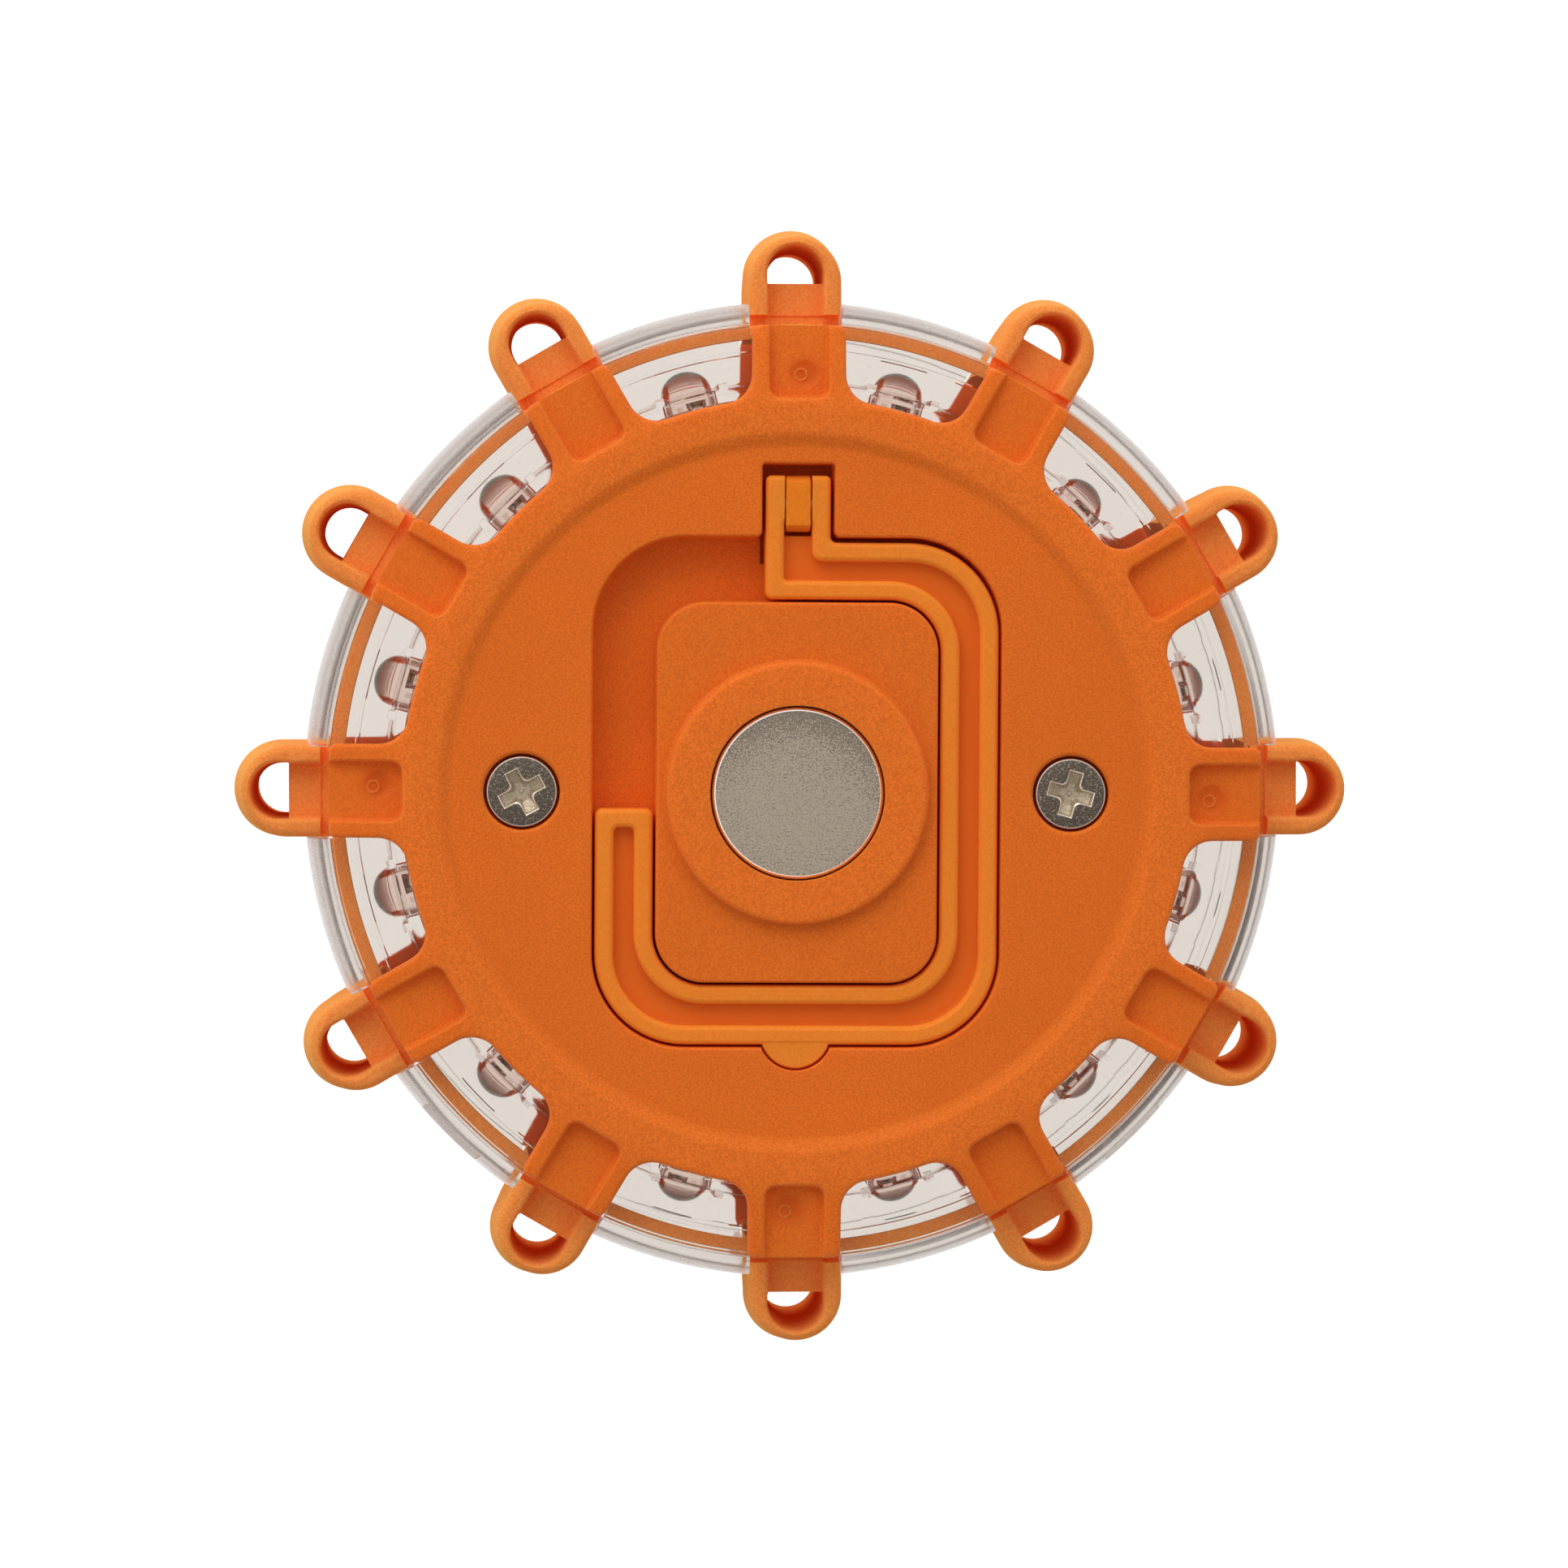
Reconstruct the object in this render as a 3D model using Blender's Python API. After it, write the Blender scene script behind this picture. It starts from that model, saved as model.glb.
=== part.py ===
"""Round LED road flare, lying on its front face with the magnet side up.

Units in the constants are millimetres; meshes are made in metres.
+Z is the outward direction of the back (magnet) side, +Y points to the hook hinge,
the origin is under the centre of the puck on the plane that its front rim rests on.
"""
import bpy
import bmesh
import math
from mathutils import Matrix

MM = 0.001
TAU = 2.0 * math.pi

# ------------------------------------------------------------------ driving dimensions
N_LOOPS = 12                 # hanging loops, one every 30 degrees
FACE_TO_FACE = 32.4          # rim plane of the back cover above the rim plane of the front cover
MID_Z = FACE_TO_FACE / 2.0   # plane of the lens joint and of the LEDs
FIT = 0.3                    # clearance between neighbours

# covers (back values; the front cover is the same section turned over)
DISC_Z = 31.4                # recessed centre disc
STEP_R0, STEP_R1 = 33.6, 34.3
RIM_Z = 32.4                 # raised ring
VALLEY_R = 38.0              # bottom of the gaps between the legs
LEG_END_R = 44.8
LEG_HALF_W = 4.5
LEG_FILLET = 2.9
LEG_END_Z = 30.9
COVER_UNDER_Z = 29.8
CHANNEL_HALF_W = 2.9         # sunk floor along each leg
CHANNEL_R0 = 38.2
CHANNEL_FLOOR_Z = 30.6

# hook recess in the back cover
RECESS_HX, RECESS_HY, RECESS_R = 19.7, 24.6, 9.0
RECESS_FLOOR_Z = 27.0
RECESS_EDGE = 0.35           # relieved top edge of the recess wall, which the hook swings past
TUB_WALL, TUB_UNDER_Z = 1.6, 25.2
ISLAND_HX, ISLAND_HY, ISLAND_R = 13.55, 18.3, 4.7
ISLAND_Z = 31.6
NOTCH_HX, NOTCH_Y1, NOTCH_FLOOR_Z = 3.5, 31.65, 25.7
LUG_HX, LUG_R = 1.15, 2.6
SCOOP_R, SCOOP_FLOOR_Z = 3.75, 29.9

# magnet and its boss
BOSS_R, BOSS_Z = 12.6, 32.95
MAGNET_R, MAGNET_T, MAGNET_Z = 8.25, 3.0, 33.0

# cover screws
SCREW_X = 26.45
SCREW_HEAD_R, SCREW_HEAD_T, SCREW_TOP_Z = 3.4, 1.9, 31.2
SCREW_SHANK_R, SCREW_LEN = 1.5, 10.0
BORE_R = 3.75

# hook
HOOK_Z0, HOOK_Z1 = 27.5, 31.2
PIVOT_Y, PIVOT_Z = 27.8, 29.4
PIN_R, PIN_HALF = 0.75, 3.05
EAR_HALF, EAR_END_Y = 3.15, 30.6
HOOK_FREE_END_Y = -1.6
HOOK_RIM, HOOK_GROOVE = 1.75, 0.7
HOOK_TOP_GAP = 0.55          # wider gap on the hinge side of the recess
TAB_R, TAB_T, TAB_Y = 3.4, 1.0, -23.2

# lens shells
LENS_TOP_Z, LENS_PLATE_T = 29.5, 1.4
LENS_R_IN, LENS_R_OUT = 34.0, 47.5
LENS_WALL_R = 45.4           # inner face of the outer wall
LENS_NECK_R0, LENS_NECK_R1 = 38.2, 39.4   # inner wall that the LEDs look through
NOTCH_LENS_HALF = 5.05

# ring that carries the loops
HOOP_R0, HOOP_R1, HOOP_Z0, HOOP_Z1 = 43.95, 45.1, 21.8, 26.8
LOOP_TIP_R, LOOP_HALF_W, LOOP_DRAFT = 54.8, 4.75, 0.35
LOOP_Z0, LOOP_Z1 = 6.0, 26.4
LOOP_HOLE_R, LOOP_HOLE_U = 2.45, 49.2
LOOP_FLOOR_DEPTH = 3.0

# LEDs
LED_R, LED_FLANGE_R = 2.5, 2.9
LED_BASE_U, LED_FLANGE_T, LED_DOME_U, LED_TIP_U = 36.9, 0.9, 39.6, 41.7
LEAD_U, LEAD_W, LEAD_PITCH = 35.6, 0.5, 2.54

# electronics and battery stack
BOARD_R, BOARD_Z0, BOARD_T = 36.4, 8.4, 1.6
TRAY_Z0, TRAY_FLOOR_T, TRAY_Z1 = 10.3, 1.5, 21.0
TRAY_HX, TRAY_HY, TRAY_WALL = 16.5, 25.1, 1.5
CELL_R, CELL_LEN, NUB_R, NUB_LEN, CELL_PITCH = 5.2, 43.3, 1.9, 1.2, 11.0
CELL_Z = TRAY_Z0 + TRAY_FLOOR_T + FIT + CELL_R
SPRING_WIRE_R, SPRING_R0, SPRING_R1, SPRING_TURNS = 0.35, 3.6, 2.2, 3
STANDOFF_Y, STANDOFF_R = 31.0, 2.8

# push button and switch
BUTTON_R, BUTTON_HOLE_R, BUTTON_FLANGE_R = 7.4, 7.7, 9.0
BUTTON_FACE_Z, BUTTON_FLANGE_Z0, BUTTON_FLANGE_Z1, BUTTON_STEM_Z = 1.2, 2.9, 3.7, 4.0
PLUNGER_R, PLUNGER_Z0, PLUNGER_Z1 = 1.6, 4.3, 6.3
SWITCH_HALF, SWITCH_Z0, SWITCH_Z1, SWITCH_BORE_Z = 3.0, 5.2, 8.1, 7.3

# facets on the round pieces
COVER_SEG, LENS_SEG, HOOP_SEG = 48, 36, 48

# gasket between back cover and lens
GASKET_R0, GASKET_R1, GASKET_Z0, GASKET_Z1 = 34.6, 36.2, 29.8, 30.7

# ------------------------------------------------------------------ clean start
for ob in list(bpy.data.objects):
    bpy.data.objects.remove(ob, do_unlink=True)
for me in list(bpy.data.meshes):
    bpy.data.meshes.remove(me)
for ma in list(bpy.data.materials):
    bpy.data.materials.remove(ma)


# ------------------------------------------------------------------ mesh helpers
def new_obj(name, bm):
    bmesh.ops.recalc_face_normals(bm, faces=bm.faces[:])
    me = bpy.data.meshes.new(name)
    bm.to_mesh(me)
    bm.free()
    ob = bpy.data.objects.new(name, me)
    bpy.context.scene.collection.objects.link(ob)
    return ob


def loft(name, sections):
    """Closed outlines with equal point counts, stacked along Z."""
    bm = bmesh.new()
    rings = [[bm.verts.new((x * MM, y * MM, z * MM)) for x, y in pts] for pts, z in sections]
    n = len(rings[0])
    bm.faces.new(list(reversed(rings[0])))
    bm.faces.new(rings[-1])
    for a, b in zip(rings, rings[1:]):
        for i in range(n):
            j = (i + 1) % n
            bm.faces.new((a[i], a[j], b[j], b[i]))
    return new_obj(name, bm)


def prism(name, pts, z0, z1):
    return loft(name, [(pts, z0), (pts, z1)])


def ring_lathe(name, prof, seg):
    """Closed profile of (r, z) points away from the axis."""
    bm = bmesh.new()
    rings = []
    for k in range(seg):
        a = TAU * k / seg
        rings.append([bm.verts.new((r * MM * math.cos(a), r * MM * math.sin(a), z * MM)) for r, z in prof])
    n = len(prof)
    for k in range(seg):
        p, q = rings[k], rings[(k + 1) % seg]
        for i in range(n):
            j = (i + 1) % n
            bm.faces.new((p[i], p[j], q[j], q[i]))
    return new_obj(name, bm)


def solid_lathe(name, prof, seg):
    """Profile of (r, z) points from the axis at the top to the axis at the bottom."""
    bm = bmesh.new()
    rings = []
    for r, z in prof:
        if r == 0.0:
            rings.append([bm.verts.new((0.0, 0.0, z * MM))])
        else:
            rings.append([bm.verts.new((r * MM * math.cos(TAU * k / seg), r * MM * math.sin(TAU * k / seg), z * MM))
                          for k in range(seg)])
    for a, b in zip(rings, rings[1:]):
        for k in range(seg):
            j = (k + 1) % seg
            if len(a) == 1:
                bm.faces.new((a[0], b[k], b[j]))
            elif len(b) == 1:
                bm.faces.new((a[k], b[0], a[j]))
            else:
                bm.faces.new((a[k], b[k], b[j], a[j]))
    return new_obj(name, bm)


def arc(cx, cy, r, a0, a1, n):
    return [(cx + r * math.cos(a0 + (a1 - a0) * i / n), cy + r * math.sin(a0 + (a1 - a0) * i / n)) for i in range(n + 1)]


def circle(cx, cy, r, n):
    return [(cx + r * math.cos(TAU * i / n), cy + r * math.sin(TAU * i / n)) for i in range(n)]


def rounded_rect(hx, hy, r, n=5):
    h = math.pi / 2
    return (arc(hx - r, hy - r, r, 0, h, n) + arc(-hx + r, hy - r, r, h, 2 * h, n)
            + arc(-hx + r, -hy + r, r, 2 * h, 3 * h, n) + arc(hx - r, -hy + r, r, 3 * h, 4 * h, n))


def rect(x0, x1, y0, y1):
    return [(x0, y0), (x1, y0), (x1, y1), (x0, y1)]


def cyl(name, x, y, r, z0, z1, n=24):
    return prism(name, circle(x, y, r, n), z0, z1)


def x_cyl(name, y, z, r, x0, x1, n=16):
    ob = prism(name, circle(0, 0, r, n), x0, x1)
    ob.data.transform(Matrix.Translation((0, y * MM, z * MM)) @ Matrix.Rotation(math.pi / 2, 4, 'Y'))
    return ob


def combine(ob, other, op):
    """Union, difference or intersection of two closed bodies; the second one is used up."""
    mod = ob.modifiers.new('join', 'BOOLEAN')
    mod.operation = op
    mod.solver = 'EXACT'
    mod.object = other
    dg = bpy.context.evaluated_depsgraph_get()
    dg.update()
    me = bpy.data.meshes.new_from_object(ob.evaluated_get(dg))
    ob.modifiers.clear()
    old = ob.data
    ob.data = me
    bpy.data.meshes.remove(old)
    used = other.data
    bpy.data.objects.remove(other, do_unlink=True)
    bpy.data.meshes.remove(used)
    return ob


def add(ob, other):
    return combine(ob, other, 'UNION')


def cut(ob, other):
    return combine(ob, other, 'DIFFERENCE')


def common(ob, other):
    return combine(ob, other, 'INTERSECT')


def spread(ob, angles):
    """The same body at several angles about Z, kept as separate shells of one mesh."""
    bm = bmesh.new()
    src = ob.data
    for a in angles:
        piece = src.copy()
        piece.transform(Matrix.Rotation(a, 4, 'Z'))
        bm.from_mesh(piece)
        bpy.data.meshes.remove(piece)
    bm.to_mesh(src)
    bm.free()
    return ob


def turn_over(ob):
    """Mirror through the middle plane, which makes a front piece from a back piece."""
    m = Matrix.Translation((0, 0, FACE_TO_FACE * MM)) @ Matrix.Diagonal((1, 1, -1, 1))
    ob.data.transform(m)
    ob.data.flip_normals()
    return ob


def finish(ob, name, rgb, rough, metal=0.0, clear=0.0, origin=(0, 0, 0), smooth=32):
    bm = bmesh.new()
    bm.from_mesh(ob.data)
    bmesh.ops.remove_doubles(bm, verts=bm.verts[:], dist=1e-6)
    bmesh.ops.dissolve_degenerate(bm, edges=bm.edges[:], dist=1e-6)
    bmesh.ops.dissolve_limit(bm, angle_limit=math.radians(0.3), use_dissolve_boundaries=False,
                             verts=bm.verts[:], edges=bm.edges[:])
    bmesh.ops.recalc_face_normals(bm, faces=bm.faces[:])
    bm.to_mesh(ob.data)
    bm.free()
    o = [c * MM for c in origin]
    ob.data.transform(Matrix.Translation((-o[0], -o[1], -o[2])))
    ob.location = o
    ob.name = name
    ob.data.name = name
    ob.data.shade_smooth()
    ob.data.set_sharp_from_angle(angle=math.radians(smooth))
    ma = bpy.data.materials.new(name + '_finish')
    ma.use_nodes = True
    b = ma.node_tree.nodes['Principled BSDF']
    b.inputs['Base Color'].default_value = (rgb[0], rgb[1], rgb[2], 1.0)
    b.inputs['Roughness'].default_value = rough
    b.inputs['Metallic'].default_value = metal
    b.inputs['Transmission Weight'].default_value = clear
    ob.data.materials.clear()
    ob.data.materials.append(ma)
    return ob


LOOP_ANGLES = [TAU * k / N_LOOPS for k in range(N_LOOPS)]
WINDOW_ANGLES = [TAU * (k + 0.5) / N_LOOPS for k in range(N_LOOPS)]
ORANGE = (0.80, 0.19, 0.025)
ORANGE_HOOK = (0.86, 0.23, 0.03)


# ------------------------------------------------------------------ outlines
def legged_outline():
    """Plan of a cover: a disc with a filleted leg at every loop."""
    pts = []
    rc = VALLEY_R + LEG_FILLET
    lat = LEG_HALF_W + LEG_FILLET
    along = math.sqrt(rc * rc - lat * lat)
    ac = math.atan2(lat, along)
    c = 0.45
    for a in LOOP_ANGLES:
        leg = []
        leg += arc(along, -lat, LEG_FILLET, math.pi - ac, math.pi / 2, 3)
        leg += [(LEG_END_R - c, -LEG_HALF_W), (LEG_END_R, -LEG_HALF_W + c),
                (LEG_END_R, LEG_HALF_W - c), (LEG_END_R - c, LEG_HALF_W)]
        leg += arc(along, lat, LEG_FILLET, -math.pi / 2, -math.pi + ac, 3)
        ca, sa = math.cos(a), math.sin(a)
        pts += [(u * ca - v * sa, u * sa + v * ca) for u, v in leg]
        step = TAU / N_LOOPS
        pts += arc(0, 0, VALLEY_R, a + ac, a + step - ac, 2)[1:-1]
    return pts


def leg_channel():
    r = 0.9
    h = math.pi / 2
    return ([(LEG_END_R + 2.0, -CHANNEL_HALF_W), (LEG_END_R + 2.0, CHANNEL_HALF_W)]
            + arc(CHANNEL_R0 + r, CHANNEL_HALF_W - r, r, h, 2 * h, 2)
            + arc(CHANNEL_R0 + r, -CHANNEL_HALF_W + r, r, 2 * h, 3 * h, 2))


def cover_plate(name):
    """Legged plate with the raised ring, the sloping legs and their sunk floors."""
    ob = prism(name, legged_outline(), COVER_UNDER_Z, RIM_Z + 1.0)
    turned = solid_lathe('section', [
        (0.0, DISC_Z), (STEP_R0, DISC_Z), (STEP_R1, RIM_Z), (VALLEY_R, RIM_Z),
        (LEG_END_R + 1.4, LEG_END_Z - 0.2), (LEG_END_R + 1.4, COVER_UNDER_Z - 1.0), (0.0, COVER_UNDER_Z - 1.0)], COVER_SEG)
    common(ob, turned)
    cut(ob, spread(prism('channel', leg_channel(), CHANNEL_FLOOR_Z, RIM_Z + 2.0), LOOP_ANGLES))
    return ob


def hook_outline(inset, end_y, neck_half, neck_top):
    """J-shaped plan that fills the recess channel, drawn inset from the channel walls."""
    W, H, Ro = RECESS_HX - inset, RECESS_HY - inset, RECESS_R - inset
    T = H + FIT - HOOK_TOP_GAP
    w, h, Ri = ISLAND_HX + inset, ISLAND_HY + inset, ISLAND_R + inset
    q = math.pi / 2
    f = 0.8
    outer = [(-neck_half, neck_top), (neck_half, neck_top)]
    outer += arc(neck_half + f, T + f, f, math.pi, 1.5 * math.pi, 2)
    outer += arc(W - Ro, T - Ro, Ro, q, 0, 5)
    outer += arc(W - Ro, -H + Ro, Ro, 0, -q, 5)
    outer += arc(-W + Ro, -H + Ro, Ro, -q, -2 * q, 5)
    e = 0.6
    outer += arc(-W + e, end_y - e, e, math.pi, q, 2) + arc(-w - e, end_y - e, e, q, 0, 2)
    inner = arc(-w + Ri, -h + Ri, Ri, -2 * q, -q, 4)
    inner += arc(w - Ri, -h + Ri, Ri, -q, 0, 4)
    inner += arc(w - Ri, h - Ri, Ri, 0, q, 4)
    inner += [(-neck_half, h)]
    pts = outer + inner
    pts.reverse()
    return pts


# ------------------------------------------------------------------ back cover
cover = cover_plate('back_cover')
add(cover, prism('tub', rounded_rect(RECESS_HX + TUB_WALL, RECESS_HY + TUB_WALL, RECESS_R + TUB_WALL), TUB_UNDER_Z, 30.6))
add(cover, prism('hinge_tub', rect(-5.0, 5.0, 20.0, 33.3), NOTCH_FLOOR_Z - 1.4, 30.5))
for sx in (-SCREW_X, SCREW_X):
    add(cover, cyl('screw_seat', sx, 0, 5.2, 27.3, 30.4, 20))
add(cover, prism('island', rounded_rect(ISLAND_HX, ISLAND_HY, ISLAND_R), 30.3, ISLAND_Z))
add(cover, cyl('boss', 0, 0, BOSS_R, 30.2, BOSS_Z, 36))
wall = rounded_rect(RECESS_HX, RECESS_HY, RECESS_R)
flare = rounded_rect(RECESS_HX + 2 * RECESS_EDGE, RECESS_HY + 2 * RECESS_EDGE, RECESS_R + 2 * RECESS_EDGE)
moat = loft('moat', [(wall, RECESS_FLOOR_Z), (wall, DISC_Z - RECESS_EDGE), (flare, DISC_Z + RECESS_EDGE), (flare, 36.0)])
cut(moat, prism('core', rounded_rect(ISLAND_HX, ISLAND_HY, ISLAND_R), 20.0, 40.0))
cut(cover, moat)
cut(cover, prism('hinge_pocket', rect(-NOTCH_HX, NOTCH_HX, 22.0, NOTCH_Y1), NOTCH_FLOOR_Z, 36.0))
cut(cover, cyl('scoop', 0, TAB_Y, SCOOP_R, SCOOP_FLOOR_Z, 36.0, 24))
for sx in (-SCREW_X, SCREW_X):
    cut(cover, cyl('bore', sx, 0, BORE_R, SCREW_TOP_Z - SCREW_HEAD_T - FIT, 36.0, 24))
    cut(cover, cyl('hole', sx, 0, SCREW_SHANK_R + FIT, 20.0, 36.0, 16))
cut(cover, cyl('magnet_pocket', 0, 0, MAGNET_R + FIT, MAGNET_Z - MAGNET_T - FIT, 36.0, 32))
cut(cover, prism('hollow', rounded_rect(ISLAND_HX - 1.6, ISLAND_HY - 1.6, 3.2, 3), 20.0, 28.0))
cut(cover, ring_lathe('groove', [(GASKET_R0 - FIT, 20.0), (GASKET_R1 + FIT, 20.0),
                                 (GASKET_R1 + FIT, GASKET_Z1 + FIT), (GASKET_R0 - FIT, GASKET_Z1 + FIT)], 36))
# hinge lug between the two ears of the hook, rounded about the pivot
lug_pts = arc(0, 0, LUG_R, -0.35, math.pi + 0.35, 12)
lug_pts = [(u, min(v, HOOK_Z1 - PIVOT_Z)) for u, v in lug_pts]
foot = NOTCH_FLOOR_Z - 0.6 - PIVOT_Z
lug_pts += [(-LUG_R + 0.2, foot), (LUG_R - 0.2, foot)]
lug = prism('lug', lug_pts, -LUG_HX, LUG_HX)
lug.data.transform(Matrix.Translation((0, PIVOT_Y * MM, PIVOT_Z * MM))
                   @ Matrix(((0, 0, 1, 0), (1, 0, 0, 0), (0, 1, 0, 0), (0, 0, 0, 1))))
cut(lug, x_cyl('pin_way', PIVOT_Y, PIVOT_Z, PIN_R + FIT, -4, 4))
add(cover, lug)
finish(cover, 'back_cover', ORANGE, 0.5)

# ------------------------------------------------------------------ hook and pin
hook = prism('hook', hook_outline(FIT, HOOK_FREE_END_Y, EAR_HALF, EAR_END_Y), HOOK_Z0, HOOK_Z1)
tab = cyl('tab', 0, TAB_Y, TAB_R, HOOK_Z1 - TAB_T, HOOK_Z1, 24)
cut(tab, prism('inner', rect(-6.0, 6.0, -RECESS_HY + FIT + 1.2, -10.0), 20.0, 40.0))
add(hook, tab)
cut(hook, prism('groove', hook_outline(FIT + HOOK_RIM, HOOK_FREE_END_Y - HOOK_RIM, 1.3, 26.0), HOOK_Z1 - HOOK_GROOVE, HOOK_Z1 + 1.0))
cut(hook, prism('slot', rect(-LUG_HX - FIT, LUG_HX + FIT, PIVOT_Y - LUG_R - FIT, EAR_END_Y + 1.0), HOOK_Z0 - 1.0, HOOK_Z1 + 1.0))
cut(hook, x_cyl('pin_way', PIVOT_Y, PIVOT_Z, PIN_R + FIT, -5, 5))
finish(hook, 'hook', ORANGE_HOOK, 0.42, origin=(0, PIVOT_Y, PIVOT_Z))
finish(x_cyl('hook_pin', PIVOT_Y, PIVOT_Z, PIN_R, -PIN_HALF, PIN_HALF, 12), 'hook_pin', (0.6, 0.6, 0.6), 0.3, 1.0)

# ------------------------------------------------------------------ magnet
c = 0.25
finish(solid_lathe('magnet', [(0.0, MAGNET_Z), (MAGNET_R - c, MAGNET_Z), (MAGNET_R, MAGNET_Z - c),
                              (MAGNET_R, MAGNET_Z - MAGNET_T), (0.0, MAGNET_Z - MAGNET_T)], 32),
       'magnet', (0.55, 0.53, 0.50), 0.38, 1.0)


# ------------------------------------------------------------------ screws
def cross_screw(name, x, y, top, head_r, head_t, shank_r, length, arm, turn):
    ob = solid_lathe(name, [(0.0, top), (head_r * 0.8, top), (head_r, top - 0.3), (head_r, top - head_t),
                            (shank_r, top - head_t), (shank_r, top - head_t - length + 1.0),
                            (shank_r * 0.5, top - head_t - length), (0.0, top - head_t - length)], 14)
    w = arm * 0.27
    cross = prism('a', rect(-arm, arm, -w, w), top - head_t * 0.6, top + 1.0)
    add(cross, prism('b', rect(-w, w, -arm, arm), top - head_t * 0.6, top + 1.0))
    cross.data.transform(Matrix.Rotation(turn, 4, 'Z'))
    cut(ob, cross)
    ob.data.transform(Matrix.Translation((x * MM, y * MM, 0)))
    return ob


for label, sx, turn in (('left', -SCREW_X, math.radians(28)), ('right', SCREW_X, math.radians(-15))):
    finish(cross_screw('s', sx, 0, SCREW_TOP_Z, SCREW_HEAD_R, SCREW_HEAD_T, SCREW_SHANK_R, SCREW_LEN, 2.2, turn),
           'cover_screw_' + label, (0.35, 0.34, 0.33), 0.3, 1.0)


# ------------------------------------------------------------------ lens shells
def lens_shell(name):
    under = LENS_TOP_Z - LENS_PLATE_T
    joint = MID_Z + FIT / 2
    ob = ring_lathe(name, [
        (LENS_R_IN, LENS_TOP_Z), (45.0, LENS_TOP_Z), (46.2, 28.9), (47.1, 26.8), (LENS_R_OUT, 24.2),
        (LENS_R_OUT, joint), (LENS_WALL_R, joint), (LENS_WALL_R, under),
        (LENS_NECK_R1, under), (LENS_NECK_R1, joint), (LENS_NECK_R0, joint), (LENS_NECK_R0, under), (LENS_R_IN, under)], LENS_SEG)
    # way for the root of each loop: through the wall, and open to the back over the shoulder
    way = prism('way', [(43.0, 10.0), (52.0, 10.0), (52.0, 36.0), (HOOP_R1, 36.0), (HOOP_R1, under - 0.2), (43.0, under - 0.2)],
                -NOTCH_LENS_HALF, NOTCH_LENS_HALF)
    way.data.transform(Matrix(((1, 0, 0, 0), (0, 0, -1, 0), (0, 1, 0, 0), (0, 0, 0, 1))))
    cut(ob, spread(way, LOOP_ANGLES))
    hole = x_cyl('led_way', 0, MID_Z, LED_R + FIT, 34.0, 42.0, 12)
    cut(ob, spread(hole, WINDOW_ANGLES))
    return ob


lens_back = lens_shell('lens_back')
for a in (1.25 * math.pi, 1.75 * math.pi):
    flat = prism('flat', rect(46.4, 52.0, -3.6, 3.6), 25.4, 36.0)
    cut(lens_back, spread(flat, [a]))
finish(lens_back, 'lens_back', (0.93, 0.93, 0.92), 0.06, 0.0, 0.9, smooth=20)
finish(turn_over(lens_shell('lens_front')), 'lens_front', (0.93, 0.93, 0.92), 0.06, 0.0, 0.9, smooth=20)


# ------------------------------------------------------------------ ring with the hanging loops
def loop_outline(half, tip, root):
    return [(root, -half)] + arc(tip - half, 0, half, -math.pi / 2, math.pi / 2, 6) + [(root, half)]


def hole_outline(r, u):
    c = u + 0.6
    return [(u, -r)] + arc(c, 0, r, -math.pi / 2, math.pi / 2, 4) + [(u, r)]


root = HOOP_R0 + 0.05
d = LOOP_DRAFT
loop = loft('loop', [(loop_outline(LOOP_HALF_W - d, LOOP_TIP_R - d, root), LOOP_Z0),
                     (loop_outline(LOOP_HALF_W, LOOP_TIP_R, root), MID_Z),
                     (loop_outline(LOOP_HALF_W - d, LOOP_TIP_R - d, root), LOOP_Z1)])
cut(loop, loft('hole', [(hole_outline(LOOP_HOLE_R + d, LOOP_HOLE_U), LOOP_Z0 - 1.0),
                        (hole_outline(LOOP_HOLE_R, LOOP_HOLE_U), MID_Z),
                        (hole_outline(LOOP_HOLE_R + d, LOOP_HOLE_U), LOOP_Z1 + 1.0)]))
sunk = rect(HOOP_R1 + 0.3, LOOP_HOLE_U + 0.6, -2.6, 2.6)
cut(loop, prism('sunk_back', sunk, LOOP_Z1 - LOOP_FLOOR_DEPTH, LOOP_Z1 + 2.0))
cut(loop, prism('sunk_front', sunk, LOOP_Z0 - 2.0, LOOP_Z0 + LOOP_FLOOR_DEPTH))
ring = ring_lathe('loop_ring', [(HOOP_R0, HOOP_Z0), (HOOP_R1, HOOP_Z0), (HOOP_R1, HOOP_Z1), (HOOP_R0, HOOP_Z1)], HOOP_SEG)
add(ring, spread(loop, LOOP_ANGLES))
finish(ring, 'loop_ring', ORANGE, 0.5)

# ------------------------------------------------------------------ front cover
front = turn_over(cover_plate('front_cover'))
inner_z = FACE_TO_FACE - COVER_UNDER_Z
for sx in (-SCREW_X, SCREW_X):
    add(front, cyl('post', sx, 0, 3.8, inner_z - 0.6, 27.0, 20))
    cut(front, cyl('post_hole', sx, 0, SCREW_SHANK_R + FIT, 16.0, 30.0, 16))
for sy in (-STANDOFF_Y, STANDOFF_Y):
    add(front, cyl('standoff', 0, sy, STANDOFF_R, inner_z - 0.6, BOARD_Z0 - FIT, 16))
    cut(front, cyl('standoff_hole', 0, sy, 1.3, 3.4, 20.0, 12))
cut(front, cyl('button_way', 0, 0, BUTTON_HOLE_R, -5.0, 10.0, 24))
finish(front, 'front_cover', ORANGE, 0.5)

# ------------------------------------------------------------------ gasket
finish(ring_lathe('cover_gasket', [(GASKET_R0, GASKET_Z0), (GASKET_R1, GASKET_Z0), (GASKET_R1, GASKET_Z1), (GASKET_R0, GASKET_Z1)], 36),
       'cover_gasket', (0.04, 0.04, 0.04), 0.8)

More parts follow.
